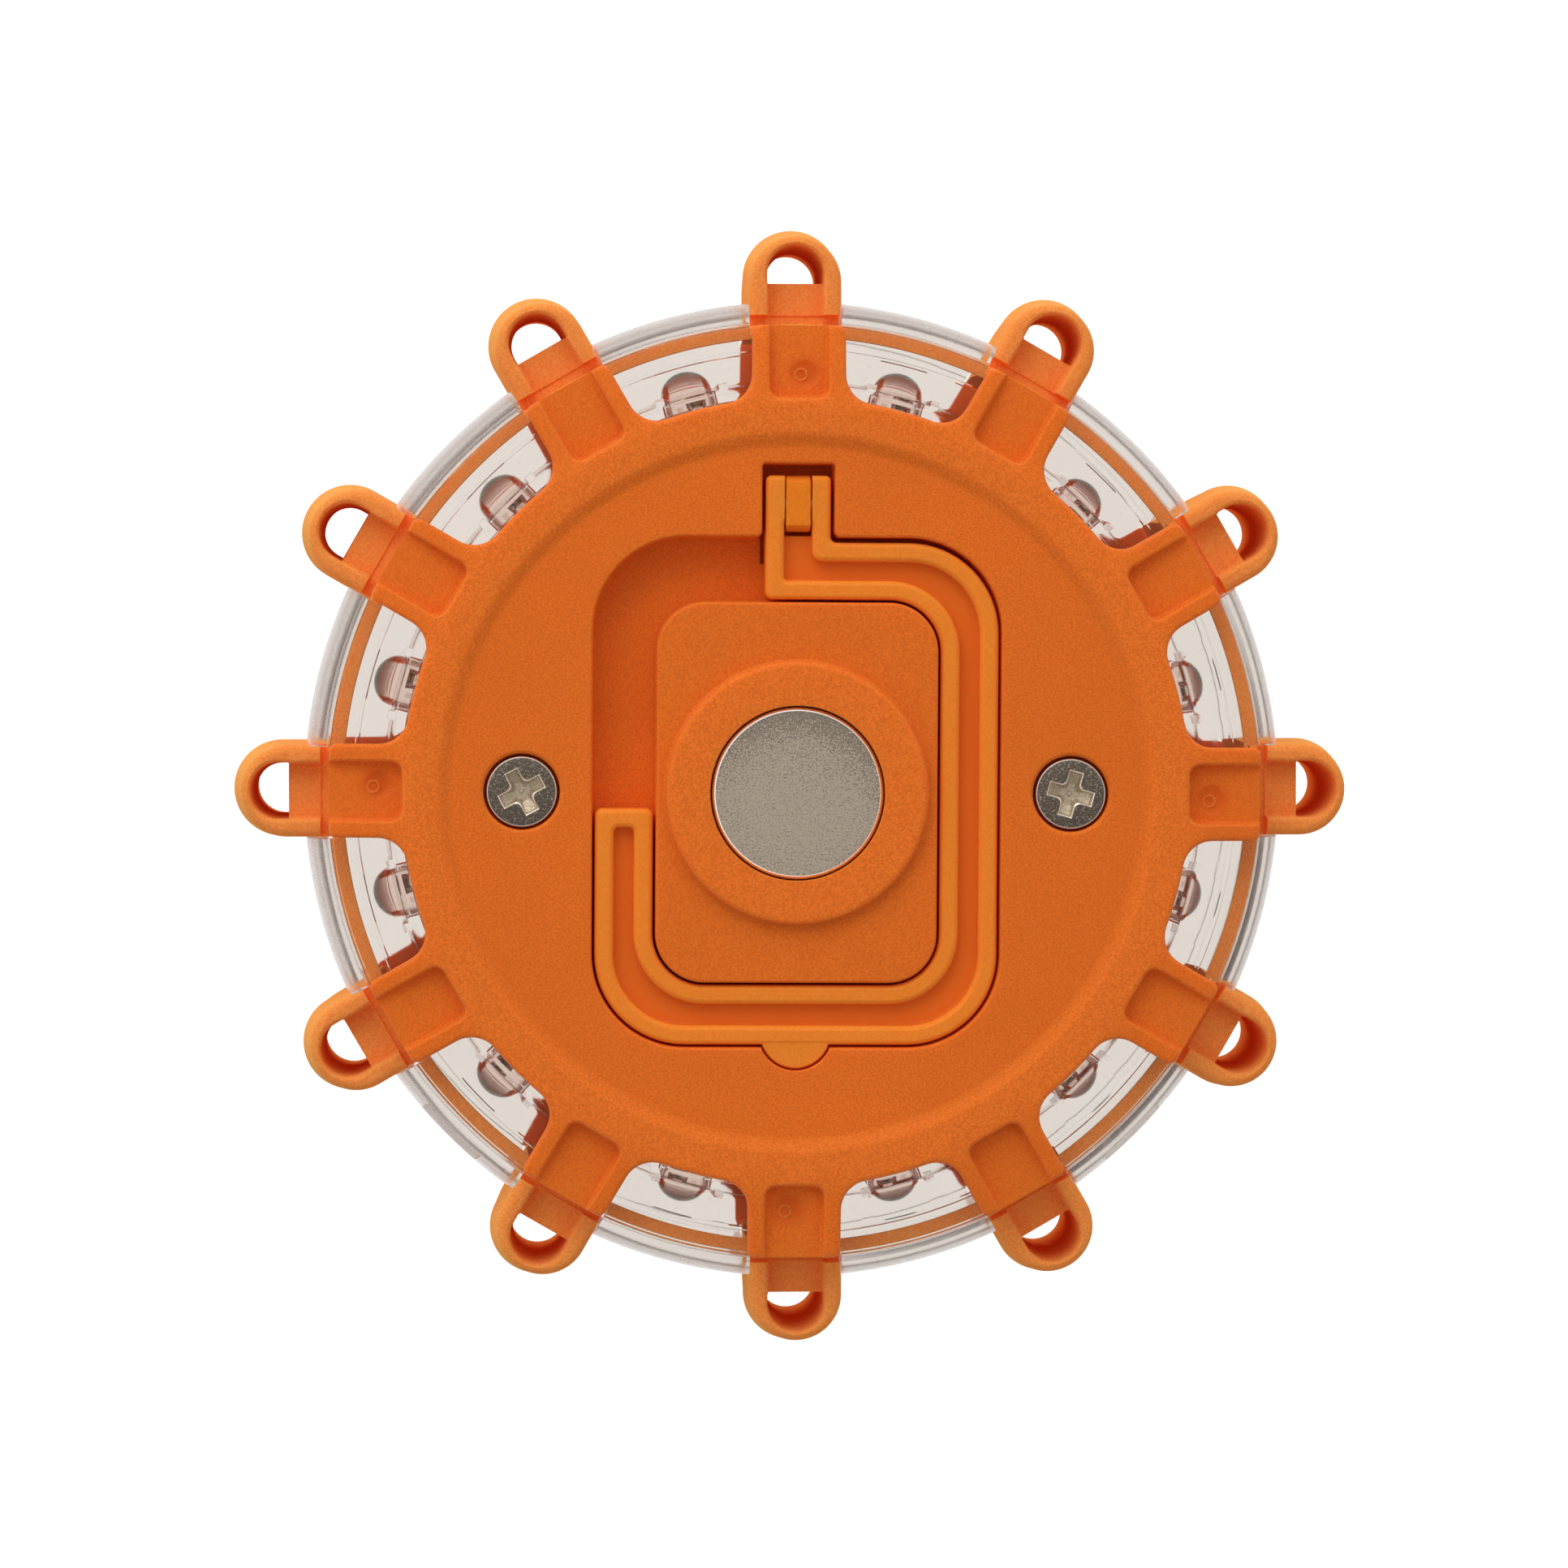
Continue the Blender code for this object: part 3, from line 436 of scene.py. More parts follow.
def plastic(name, rgb, rough=0.48, sss=0.45, grain=1.0, clouds=0.05, level=0.20, tint=(1.0, 0.66, 0.35), marks=(), deep=None, raised=None):
    """Moulded plastic with a spark-eroded texture, faint flow clouds and small scuffs.

    marks: centres of ejector marks, each with painted shade in its dish and a painted highlight on its small ring;
    deep: height just below which painted shade darkens and reddens a band of the low walls;
    raised: height above which painted light makes the tone lighter and yellower."""
    t = Tree(name)
    fine = t.noise(4600.0, 2.0, 0.6)
    mid = t.noise(1500.0, 3.0, 0.6)
    cloud = t.noise(48.0, 4.0, 0.55, distortion=0.4)
    base = t.mix(t.remap(cloud, 0.3, 0.7, 0.0, 1.0), shade(rgb, 1.0 - clouds + 0.1 * grain), shade(rgb, 1.0 + clouds + 0.1 * grain))
    z = t.xyz()[2]
    # painted shade: a darker, redder band just below the given height, where the walls sit in the gap
    if deep is not None:
        base = t.mix(t.math('MULTIPLY', t.remap(z, (deep - 0.25) * MM, (deep + 0.25) * MM, 1.0, 0.0), t.remap(z, (deep - 1.2) * MM, (deep - 0.7) * MM, 0.0, 1.0)), base, (rgb[0] * 0.85, rgb[1] * 0.62, rgb[2] * 0.54))
    # painted light: the tone is lighter and yellower above the given height, on the raised ring and boss
    if raised is not None:
        base = t.mix(t.remap(z, (raised - 0.2) * MM, (raised + 0.2) * MM, 0.0, 1.0), base, (min(1.0, rgb[0] * 1.19), rgb[1] * 1.23, rgb[2] * 1.38))
    # ejector marks: painted shade in the dish and a painted highlight on the small ring
    for cx, cy in marks:
        d = t.radius(cx, cy)
        base = t.mix(t.remap(d, 0.0009, 0.0021, 0.75, 0.0), base, (rgb[0] * 0.86, rgb[1] * 0.55, rgb[2] * 0.6))
        dx = t.radius(cx - 0.35, cy - 0.15)
        ring = t.remap(t.math('ABSOLUTE', t.math('SUBTRACT', dx, 0.00056)), 0.00006, 0.00020, 0.75, 0.0)
        base = t.mix(ring, base, (min(1.0, rgb[0] * 1.1), rgb[1] * 1.5, rgb[2] * 2.2))
    speck = t.remap(fine, 0.32, 0.68, 0.0, 1.0)
    base = t.mix(t.math('MULTIPLY', speck, 0.70 * grain), base, (rgb[0] * 0.80, rgb[1] * 0.62, rgb[2] * 0.5))
    scuff = t.remap(t.noise(220.0, 6.0, 0.7, distortion=1.2), 0.66, 0.74, 0.0, 1.0)
    base = t.mix(t.math('MULTIPLY', scuff, 0.10), base, shade(rgb, 0.68))
    r = t.remap(mid, 0.3, 0.7, rough - 0.06, rough + 0.07)
    n = t.bump(mid, 0.10 * grain, 0.00005)
    n = t.bump(fine, 0.14 * grain, 0.00002, n)
    return t.put(Base_Color=base, Roughness=r, Normal=n, Subsurface_Weight=sss, Subsurface_Radius=(1.0, 0.25, 0.06),
                 Subsurface_Scale=0.0014, IOR=1.46, Specular_IOR_Level=level, Specular_Tint=tint)


def clear_plastic(name, rgb, ior=1.50, rough=0.02, rim=None, clear_part=1.0):
    """Clear moulded plastic: faint flow waves, a little haze, dust and fine scratches; duller beyond the radius rim."""
    t = Tree(name)
    haze = t.noise(120.0, 4.0, 0.6, distortion=0.6)
    scratch = t.noise(900.0, 2.0, 0.5, stretch=(1.0, 0.08, 1.0))
    r = t.math('ADD', t.remap(haze, 0.45, 0.75, rough, rough + 0.05), t.remap(scratch, 0.68, 0.76, 0.0, 0.10))
    base = t.mix(t.remap(haze, 0.3, 0.7, 0.0, 1.0), shade(rgb, 0.975), rgb)
    dust = t.remap(t.noise(1400.0, 2.0, 0.5), 0.70, 0.76, 0.0, 0.45)
    base = t.mix(dust, base, shade(rgb, 0.72))
    if rim is not None:
        r = t.math('ADD', r, t.remap(t.radius(), (rim - 0.2) * MM, (rim + 0.5) * MM, 0.0, 0.19))
    n = t.bump(t.noise(60.0, 1.0, 0.4), 0.04, 0.0002)
    return t.put(Base_Color=base, Roughness=r, Normal=n, Transmission_Weight=clear_part, IOR=ior)


def rubber(name, rgb):
    t = Tree(name)
    fine = t.noise(3800.0, 3.0, 0.6)
    dust = t.remap(t.noise(160.0, 6.0, 0.7), 0.55, 0.75, 0.0, 1.0)
    base = t.mix(t.math('MULTIPLY', dust, 0.35), rgb, (0.10, 0.095, 0.09))
    return t.put(Base_Color=base, Roughness=t.remap(fine, 0.3, 0.7, 0.62, 0.82), Normal=t.bump(fine, 0.2, 0.00004),
                 Specular_IOR_Level=0.3)


def metal(name, rgb, rough, speck=0.5, scale=4500.0, brushed=None):
    """Plated steel with fine pits and uneven polish."""
    t = Tree(name)
    fine = t.noise(scale, 3.0, 0.7, stretch=brushed)
    patch = t.noise(260.0, 4.0, 0.6)
    base = t.mix(t.remap(fine, 0.38, 0.66, 0.0, 1.0), shade(rgb, 1.0 - speck), shade(rgb, 1.0 + 0.35 * speck))
    base = t.mix(t.remap(patch, 0.35, 0.7, 0.0, 0.25), base, shade(rgb, 0.75))
    r = t.math('ADD', t.remap(fine, 0.3, 0.7, rough - 0.05, rough + 0.08), t.remap(patch, 0.4, 0.7, 0.0, 0.06))
    return t.put(Base_Color=base, Roughness=r, Normal=t.bump(fine, 0.25, 0.00003), Metallic=1.0)


ORANGE = (0.83, 0.195, 0.0240)
HOOK_ORANGE = (1.0, 0.278, 0.031)


def mark_places():
    """Ejector marks on four of the leg floors."""
    u, v = 40.35, -0.55
    return [(u * math.cos(a) - v * math.sin(a), u * math.sin(a) + v * math.cos(a)) for a in (LOOP_ANGLES[k] for k in (0, 3, 6, 9))]


orange = plastic('orange_moulded', ORANGE)
orange_back = plastic('orange_back', ORANGE, marks=mark_places(), raised=31.85)
# painted sheen: a paler copy of the orange with no specular, its paleness standing in for the loops' sheen
orange_loops_painted_sheen = plastic('orange_loops_painted_sheen', (0.97, 0.340, 0.084), rough=0.44, sss=0.50, level=0.0)
orange_hook = plastic('orange_hook', HOOK_ORANGE, rough=0.40, sss=0.45, grain=0.6, clouds=0.04, level=0.30, deep=30.2)
# painted light: the lug belongs to the back cover's moulding but gets a lighter, yellower copy of its orange
orange_lug_painted_light = plastic('orange_lug_painted_light', (0.92, 0.250, 0.0185), rough=0.42, grain=0.6)
# painted reflection: the warm grey tint of the lens stands in for the orange parts reflected in it
clear = clear_plastic('clear_lens', (0.858, 0.831, 0.796), ior=1.27, rough=0.05, rim=45.6)
led_clear = clear_plastic('led_epoxy', (0.90, 0.78, 0.73), ior=1.36, rough=0.06)
black_rubber = rubber('black_rubber', (0.022, 0.022, 0.023))
steel = metal('contact_plating', (0.62, 0.60, 0.56), 0.28, 0.25)
tray_black = plastic('tray_plastic', (0.030, 0.030, 0.032), rough=0.5, sss=0.0, tint=(1.0, 1.0, 1.0))


def magnet_material():
    """Dull plated face with dark specks that grow denser towards +y and towards the edge, and a polished rim."""
    t = Tree('magnet_plating')
    x, y, z = t.xyz()
    r = t.radius()
    # the dark specks grow denser towards +y and towards the edge, so that side of the face is darker
    lean = t.math('ADD', t.math('MULTIPLY', y, 0.95), t.math('MULTIPLY', x, 0.15))
    edge = t.remap(r, 0.0045, 0.0082, 0.0, 1.0)
    dense = t.math('MULTIPLY', t.remap(lean, -0.001, 0.0075, 0.0, 1.0), t.math('ADD', 0.35, t.math('MULTIPLY', edge, 0.65)))
    grains = t.noise(6400.0, 2.0, 0.65)
    pits = t.remap(t.math('ADD', grains, t.math('ADD', t.math('MULTIPLY', dense, 0.22), t.math('MULTIPLY', edge, 0.04))), 0.55, 0.67, 0.0, 1.0)
    glint = t.remap(grains, 0.28, 0.40, 1.0, 0.0)
    base = t.mix(t.math('MULTIPLY', pits, 0.62), (0.60, 0.500, 0.400), (0.14, 0.112, 0.094))
    base = t.mix(t.math('MULTIPLY', glint, 0.45), base, (0.92, 0.85, 0.76))
    rim = t.remap(r, 0.00789, 0.00793, 0.0, 1.0)
    base = t.mix(rim, base, (0.93, 0.90, 0.86))
    rough = t.mix(rim, (0.46, 0.46, 0.46), (0.16, 0.16, 0.16))
    return t.put(Base_Color=base, Roughness=rough, Normal=t.bump(grains, 0.14, 0.00004), Metallic=1.0)


def screw_material(name, cx):
    """Dark nickel plating with bright grains, a worn rim, a painted highlight round the driver recess and a paler
    recess.
    """
    t = Tree(name)
    x, y, z = t.xyz()
    r = t.radius(cx, 0.0)
    grains = t.noise(5200.0, 3.0, 0.72)
    base = t.mix(t.remap(grains, 0.54, 0.70, 0.0, 0.85), (0.165, 0.132, 0.104), (0.86, 0.74, 0.61))
    base = t.mix(t.remap(grains, 0.30, 0.44, 0.5, 0.0), base, (0.075, 0.060, 0.050))
    rim = t.remap(r, 0.00322, 0.00328, 0.0, 1.0)
    base = t.mix(rim, base, (0.85, 0.76, 0.68))
    near = t.remap(r, 0.0026, 0.0028, 1.0, 0.0)
    # painted highlight: the top face round the driver recess is painted bright
    edge = t.math('MULTIPLY', t.remap(z, 0.03118, 0.031195, 1.0, 0.0), near)
    base = t.mix(edge, base, (0.95, 0.88, 0.77))
    inside = t.math('MULTIPLY', t.remap(z, 0.03106, 0.03109, 1.0, 0.0), near)
    base = t.mix(inside, base, t.mix(t.remap(grains, 0.4, 0.65, 0.0, 1.0), (0.58, 0.49, 0.37), (0.74, 0.65, 0.53)))
    rough = t.math('ADD', t.remap(grains, 0.35, 0.7, 0.44, 0.26), t.math('MULTIPLY', inside, 0.25))
    return t.put(Base_Color=base, Roughness=rough, Normal=t.bump(grains, 0.3, 0.00004), Metallic=1.0)


def board_material():
    """Solder mask over copper tracks."""
    t = Tree('solder_mask')
    brick = t.node('ShaderNodeTexBrick')
    brick.inputs['Scale'].default_value = 260.0
    brick.inputs['Mortar Size'].default_value = 0.06
    t.link(t.co, brick.inputs['Vector'])
    weave = t.noise(1800.0, 2.0, 0.5)
    base = t.mix(brick.outputs['Fac'], (0.012, 0.115, 0.045), (0.020, 0.175, 0.070))
    base = t.mix(t.remap(weave, 0.4, 0.7, 0.0, 0.25), base, (0.008, 0.07, 0.03))
    return t.put(Base_Color=base, Roughness=t.remap(weave, 0.3, 0.7, 0.28, 0.42), Normal=t.bump(brick.outputs['Fac'], 0.2, 0.00004))


def cell_material():
    """Plain shrink sleeve with a paler band and bare steel at both ends."""
    t = Tree('cell_sleeve')
    x, y, z = t.xyz()
    fine = t.noise(900.0, 3.0, 0.6)
    ay = t.math('ABSOLUTE', y)
    band = t.remap(ay, 0.0120, 0.0122, 0.0, 1.0)
    base = t.mix(band, (0.020, 0.021, 0.023), (0.36, 0.33, 0.27))
    base = t.mix(t.remap(fine, 0.4, 0.7, 0.0, 0.2), base, (0.08, 0.08, 0.08))
    return t.put(Base_Color=base, Roughness=t.remap(fine, 0.3, 0.7, 0.25, 0.40), Metallic=0.3, Normal=t.bump(fine, 0.08, 0.00003))


magnet_plating = magnet_material()
screw_left_m = screw_material('screw_left_plating', -SCREW_X)
screw_right_m = screw_material('screw_right_plating', SCREW_X)
board_mask = board_material()
cell_sleeve = cell_material()
switch_case = metal('switch_plating', (0.36, 0.36, 0.37), 0.34, 0.2, 2500.0)


# ------------------------------------------------------------------ covers
def legged_outline(n=9):
    pts = []
    rc = VALLEY_R + LEG_FILLET
    lat = LEG_HALF_W + LEG_FILLET
    along = math.sqrt(rc * rc - lat * lat)
    ac = math.atan2(lat, along)
    c = 0.75
    w, e = LEG_HALF_W, LEG_END_R
    step = TAU / 12
    for a in LOOP_ANGLES:
        leg = arc(along, -lat, LEG_FILLET, math.pi - ac, HALF, n)
        leg += [(along + (e - c - along) * k / 4, -w) for k in (1, 2, 3)]
        leg += arc(e - c, -w + c, c, -HALF, 0, 5)
        leg += [(e, -w + c + (2 * w - 2 * c) * k / 6) for k in range(1, 6)]
        leg += arc(e - c, w - c, c, 0, HALF, 5)
        leg += [(along + (e - c - along) * k / 4, w) for k in (3, 2, 1)]
        leg += arc(along, lat, LEG_FILLET, -HALF, -math.pi + ac, n)
        ca, sa = math.cos(a), math.sin(a)
        pts += [(u * ca - v * sa, u * sa + v * ca) for u, v in leg]
        pts += arc(0, 0, VALLEY_R, a + ac, a + step - ac, 8)[1:-1]
    return tidy(pts)


RAMP_R0 = 37.5


def leg_top(x, y, rim=RIM_Z):
    return rim - (rim - 30.9) / 7.1 * max(0.0, math.hypot(x, y) - RAMP_R0)


def leg_floor(x, y):
    return 30.42 - 0.060 * max(0.0, math.hypot(x, y) - CHANNEL_R0)


def channel_outline(n=7):
    r = 1.0
    w = CHANNEL_HALF_W
    return tidy([(LEG_END_R + 2.5, -w)] + [(LEG_END_R + 2.5, w)] + [(u, w) for u in (44.0, 42.0)]
                + arc(CHANNEL_R0 + r, w - r, r, HALF, 2 * HALF, n)
                + arc(CHANNEL_R0 + r, -w + r, r, 2 * HALF, 3 * HALF, n) + [(u, -w) for u in (42.0, 44.0)])


def cover_plate(name, rim, disc):
    """Disc with the raised ring, twelve sloping legs with rounded edges and their sunk floors."""
    outline = legged_outline()
    rings = [at(outline, COVER_UNDER_Z)]
    edge = 0.42
    for i in range(6):
        t = HALF * i / 5
        ring = offset(outline, -edge * (1 - math.cos(t)))
        rings.append([(x, y, leg_top(x, y, rim) - edge * (1 - math.sin(t))) for x, y in ring])
    theta = [math.atan2(y, x) for x, y in ring]
    soft = [(RAMP_R0 - 0.08, rim), (36.2, rim)]
    for i in range(11):        # soft step from the ring down to the disc
        s = i / 10
        soft.append((34.85 - 1.75 * s, rim - (rim - disc) * (s * s * (3 - 2 * s))))
    for r, z in soft:
        rings.append([(r * math.cos(a), r * math.sin(a), z) for a in theta])
    ob = loft(name, rings)
    cut(ob, spread(pit('channel', channel_outline(), leg_floor, lambda x, y: leg_top(x, y, rim), 0.42, 0.28), LOOP_ANGLES), True)
    return ob


def recess_outline():
    """Rounded recess joined to the hinge notch by small fillets."""
    f, c = 0.6, 0.35
    n = 18
    hx, hy, r, nx = RECESS_HX, RECESS_HY, RECESS_R, NOTCH_HX
    pts = arc(hx - r, hy - r, r, 0, HALF, n)
    pts += arc(nx + f, hy + f, f, 3 * HALF, 2 * HALF, 6)
    pts += arc(nx - c, NOTCH_Y1 - c, c, 0, HALF, 4)
    pts += arc(-nx + c, NOTCH_Y1 - c, c, HALF, 2 * HALF, 4)
    pts += arc(-nx - f, hy + f, f, 0, -HALF, 6)
    pts += arc(-hx + r, hy - r, r, HALF, 2 * HALF, n)
    pts += arc(-hx + r, -hy + r, r, 2 * HALF, 3 * HALF, n)
    pts += arc(hx - r, -hy + r, r, 3 * HALF, 4 * HALF, n)
    return tidy(pts)


def build_back_cover():
    ob = cover_plate('back', RIM_Z, DISC_Z)
    add(ob, prism('tub', rounded_rect(RECESS_HX + 1.6, RECESS_HY + 1.6, RECESS_R + 1.6), 25.2, 30.9))
    add(ob, prism('hinge_tub', rect(-5.0, 5.0, 20.0, 33.1), NOTCH_FLOOR_Z - 1.4, 30.95))
    for sx in (-SCREW_X, SCREW_X):
        add(ob, cyl('seat', sx, 0, 5.2, 27.3, 30.9))
    cut(ob, pit('recess', recess_outline(), RECESS_FLOOR_Z, DISC_Z, 0.30, 0.20, draft=0.24))
    cut(ob, prism('pocket', rect(-NOTCH_HX, NOTCH_HX, 22.0, NOTCH_Y1 - 0.02), NOTCH_FLOOR_Z, 28.0))
    cut(ob, pit('scoop', circle(0, TAB_Y, SCOOP_R, 64), SCOOP_FLOOR_Z, DISC_Z, 0.15, 0.2))
    add(ob, boss('island', rounded_rect(ISLAND_HX, ISLAND_HY, ISLAND_R), RECESS_FLOOR_Z - 0.7, ISLAND_Z, 0.32, draft=0.19))
    ring = [(0.0, 30.5), (13.05, 30.5), (13.0, 31.58), (12.86, 31.62), (12.76, 31.70), (12.70, 31.86), (12.66, 32.1), (12.62, 32.5), (12.56, 32.68),
            (12.45, 32.82), (12.28, 32.91), (12.05, BOSS_Z), (0.0, BOSS_Z)]
    add(ob, solid_lathe('boss', ring, 144))
    for sx in (-SCREW_X, SCREW_X):
        cut(ob, pit('bore', circle(sx, 0, BORE_R, 72), 29.0, DISC_Z, 0.45, 0.1))
        cut(ob, cyl('hole', sx, 0, SCREW_SHANK_R + FIT, 20.0, 30.0, 32))
    cut(ob, pit('magnet_pocket', circle(0, 0, MAGNET_R + 0.14, 128), MAGNET_Z - MAGNET_T - FIT, BOSS_Z, 0.16, 0.1))
    cut(ob, prism('hollow', rounded_rect(ISLAND_HX - 1.6, ISLAND_HY - 1.6, 3.2, 6), 20.0, 28.0))
    cut(ob, ring_lathe('groove', [(34.3, 20.0), (36.5, 20.0), (36.5, 31.0), (34.3, 31.0)], 96))
    # hinge lug, rounded about the pivot
    pts = [(u, min(v, HOOK_Z1 - PIVOT_Z - 0.02)) for u, v in arc(0, 0, LUG_R + 0.12, -0.35, math.pi + 0.35, 40)]
    foot = NOTCH_FLOOR_Z - 0.6 - PIVOT_Z
    pts = tidy(pts + [(-LUG_R + 0.2, foot), (LUG_R - 0.2, foot)])
    h, b = LUG_HX + 0.05, 0.12
    lug = loft('lug', [at(offset(pts, -b), -h), at(pts, -h + b), at(pts, h - b), at(offset(pts, -b), h)])
    lug.data.transform(Matrix.Translation((0, PIVOT_Y * MM, PIVOT_Z * MM))
                       @ Matrix(((0, 0, 1, 0), (1, 0, 0, 0), (0, 1, 0, 0), (0, 0, 0, 1))))
    cut(lug, x_cyl('pin_way', PIVOT_Y, PIVOT_Z, PIN_R + 0.15, -4, 4))
    piece(lug, 'hinge_lug', [], 'housing', 'orange_plastic', [orange_lug_painted_light])
    # ejector marks on four of the leg floors: a shallow dish with a small ring in it
    for x, y in mark_places():
        z = leg_floor(x, y)
        dish = solid_lathe('dish', [(0.0, -0.34), (0.7, -0.32), (1.1, -0.22), (1.45, -0.05), (1.75, 0.12), (0.0, 0.4)], 40)
        dish.data.transform(Matrix.Translation((x * MM, y * MM, z * MM)))
        cut(ob, dish)
        bead = ring_lathe('bead', [(0.42, -0.25), (0.70, -0.25), (0.66, -0.06), (0.56, -0.01), (0.46, -0.06)], 28)
        bead.data.transform(Matrix.Translation(((x - 0.35) * MM, (y - 0.15) * MM, (z - 0.16) * MM)))
        add(ob, bead)
    return piece(ob, 'back_cover_moulding', ['back_cover'], 'housing', 'orange_plastic', [orange_back])


def build_front_cover():
    ob = cover_plate('front', FRONT_RIM_Z, FRONT_DISC_Z)
    under = COVER_UNDER_Z
    for sx in (-SCREW_X, SCREW_X):
        add(ob, cyl('post', sx, 0, 3.8, FACE_TO_FACE - 27.0, under + 0.6))
    for sy in (-31.0, 31.0):
        add(ob, cyl('standoff', 0, sy, 2.8, FACE_TO_FACE - 8.1, under + 0.6))
    add(ob, solid_lathe('collar', [(0.0, 30.4), (12.0, 30.4), (11.9, 31.45), (11.6, 31.62), (11.1, 31.75), (10.4, 31.8), (0.0, 31.8)], 128))
    cut(ob, pit('well', circle(0, 0, BUTTON_HOLE_R + 0.02, 96), 20.0, 31.8, 0.55, 0.05))
    turn_over(ob)
    for sx in (-SCREW_X, SCREW_X):
        cut(ob, cyl('post_hole', sx, 0, SCREW_SHANK_R + FIT, 16.0, 30.0, 32))
    for sy in (-31.0, 31.0):
        cut(ob, cyl('standoff_hole', 0, sy, 1.3, 3.4, 20.0, 24))
    return piece(ob, 'front_cover_moulding', ['front_cover'], 'housing', 'orange_plastic', [orange])


# ------------------------------------------------------------------ hook
def hook_outline(inset, end_y, neck_half, neck_top, corner, f, e):
    W, H, Ro = RECESS_HX - inset, RECESS_HY - inset, RECESS_R - inset
    T = H + FIT - HOOK_TOP_GAP
    w, h, Ri = ISLAND_HX + inset, ISLAND_HY + inset, ISLAND_R + inset
    n = 16
    c = 0.55
    pts = arc(-neck_half + c, neck_top - c, c, 2 * HALF, HALF, 4) + arc(neck_half - c, neck_top - c, c, HALF, 0, 4)
    pts += arc(neck_half + f, T + f, f, 2 * HALF, 3 * HALF, 6)
    pts += arc(W - Ro, T - Ro, Ro, HALF, 0, n)
    pts += arc(W - Ro, -H + Ro, Ro, 0, -HALF, n)
    pts += arc(-W + Ro, -H + Ro, Ro, -HALF, -2 * HALF, n)
    pts += arc(-W + e, end_y - e, e, 2 * HALF, HALF, 5) + arc(-w - e, end_y - e, e, HALF, 0, 5)
    pts += arc(-w + Ri, -h + Ri, Ri, -2 * HALF, -HALF, n)
    pts += arc(w - Ri, -h + Ri, Ri, -HALF, 0, n)
    pts += arc(w - Ri, h - Ri, Ri, 0, HALF, n)
    pts += arc(-neck_half + corner, h + corner, corner, 3 * HALF, 2 * HALF, 6)
    pts.reverse()
    return tidy(pts)


def build_hook():
    pts = hook_outline(FIT - 0.03, HOOK_FREE_END_Y, EAR_HALF, EAR_END_Y, 0.75, 0.55, 0.7)
    rings = []
    for i in range(4):
        t = HALF * (1 - i / 3)
        rings.append(at(offset(pts, -0.25 * (1 - math.cos(t))), HOOK_Z0 + 0.25 * (1 - math.sin(t))))
    for i in range(8):
        t = HALF * i / 7
        rings.append(at(offset(pts, -0.52 * (1 - math.cos(t))), HOOK_Z1 - 0.62 * (1 - math.sin(t))))
    ob = loft('hook', rings)
    tab = boss('tab', circle(0, TAB_Y, TAB_R, 72), HOOK_Z1 - TAB_T, HOOK_Z1 - 0.12, 0.22)
    cut(tab, prism('inner', rect(-6.0, 6.0, -RECESS_HY + FIT + 0.9, -10.0), 20.0, 40.0))
    add(ob, tab)
    groove = hook_outline(FIT + HOOK_RIM, HOOK_FREE_END_Y - HOOK_RIM, EAR_HALF - HOOK_RIM, 26.2, 0.35, 1.0, 0.5)
    cut(ob, pit('groove', groove, HOOK_Z1 - HOOK_GROOVE, HOOK_Z1, 0.60, 0.22, n=6))
    slot = boss('slot', rect(-LUG_HX - 0.18, LUG_HX + 0.18, PIVOT_Y - LUG_R - FIT - 0.22, EAR_END_Y + 1.0), HOOK_Z0 - 1.0, HOOK_Z1 + 1.0, 0.01, 1)
    cut(ob, slot)
    cut(ob, x_cyl('pin_way', PIVOT_Y, PIVOT_Z, PIN_R + 0.15, -5, 5))
    return piece(ob, 'hook_moulding', ['hook'], 'hook', 'orange_hook', [orange_hook])


# ------------------------------------------------------------------ ring with the loops
def loop_outline(half, tip, root):
    side = [(root + (tip - half - root) * k / 5, -half) for k in range(5)]
    return tidy(side + arc(tip - half, 0, half, -HALF, HALF, 32) + [(u, -v) for u, v in reversed(side)])


def hole_outline(r, u):
    return tidy([(u, -r)] + arc(u + 0.6, 0, r, -HALF, HALF, 28) + [(u, r)] + [(u, r * (1 - k / 3)) for k in (1, 2, 3, 4, 5)])


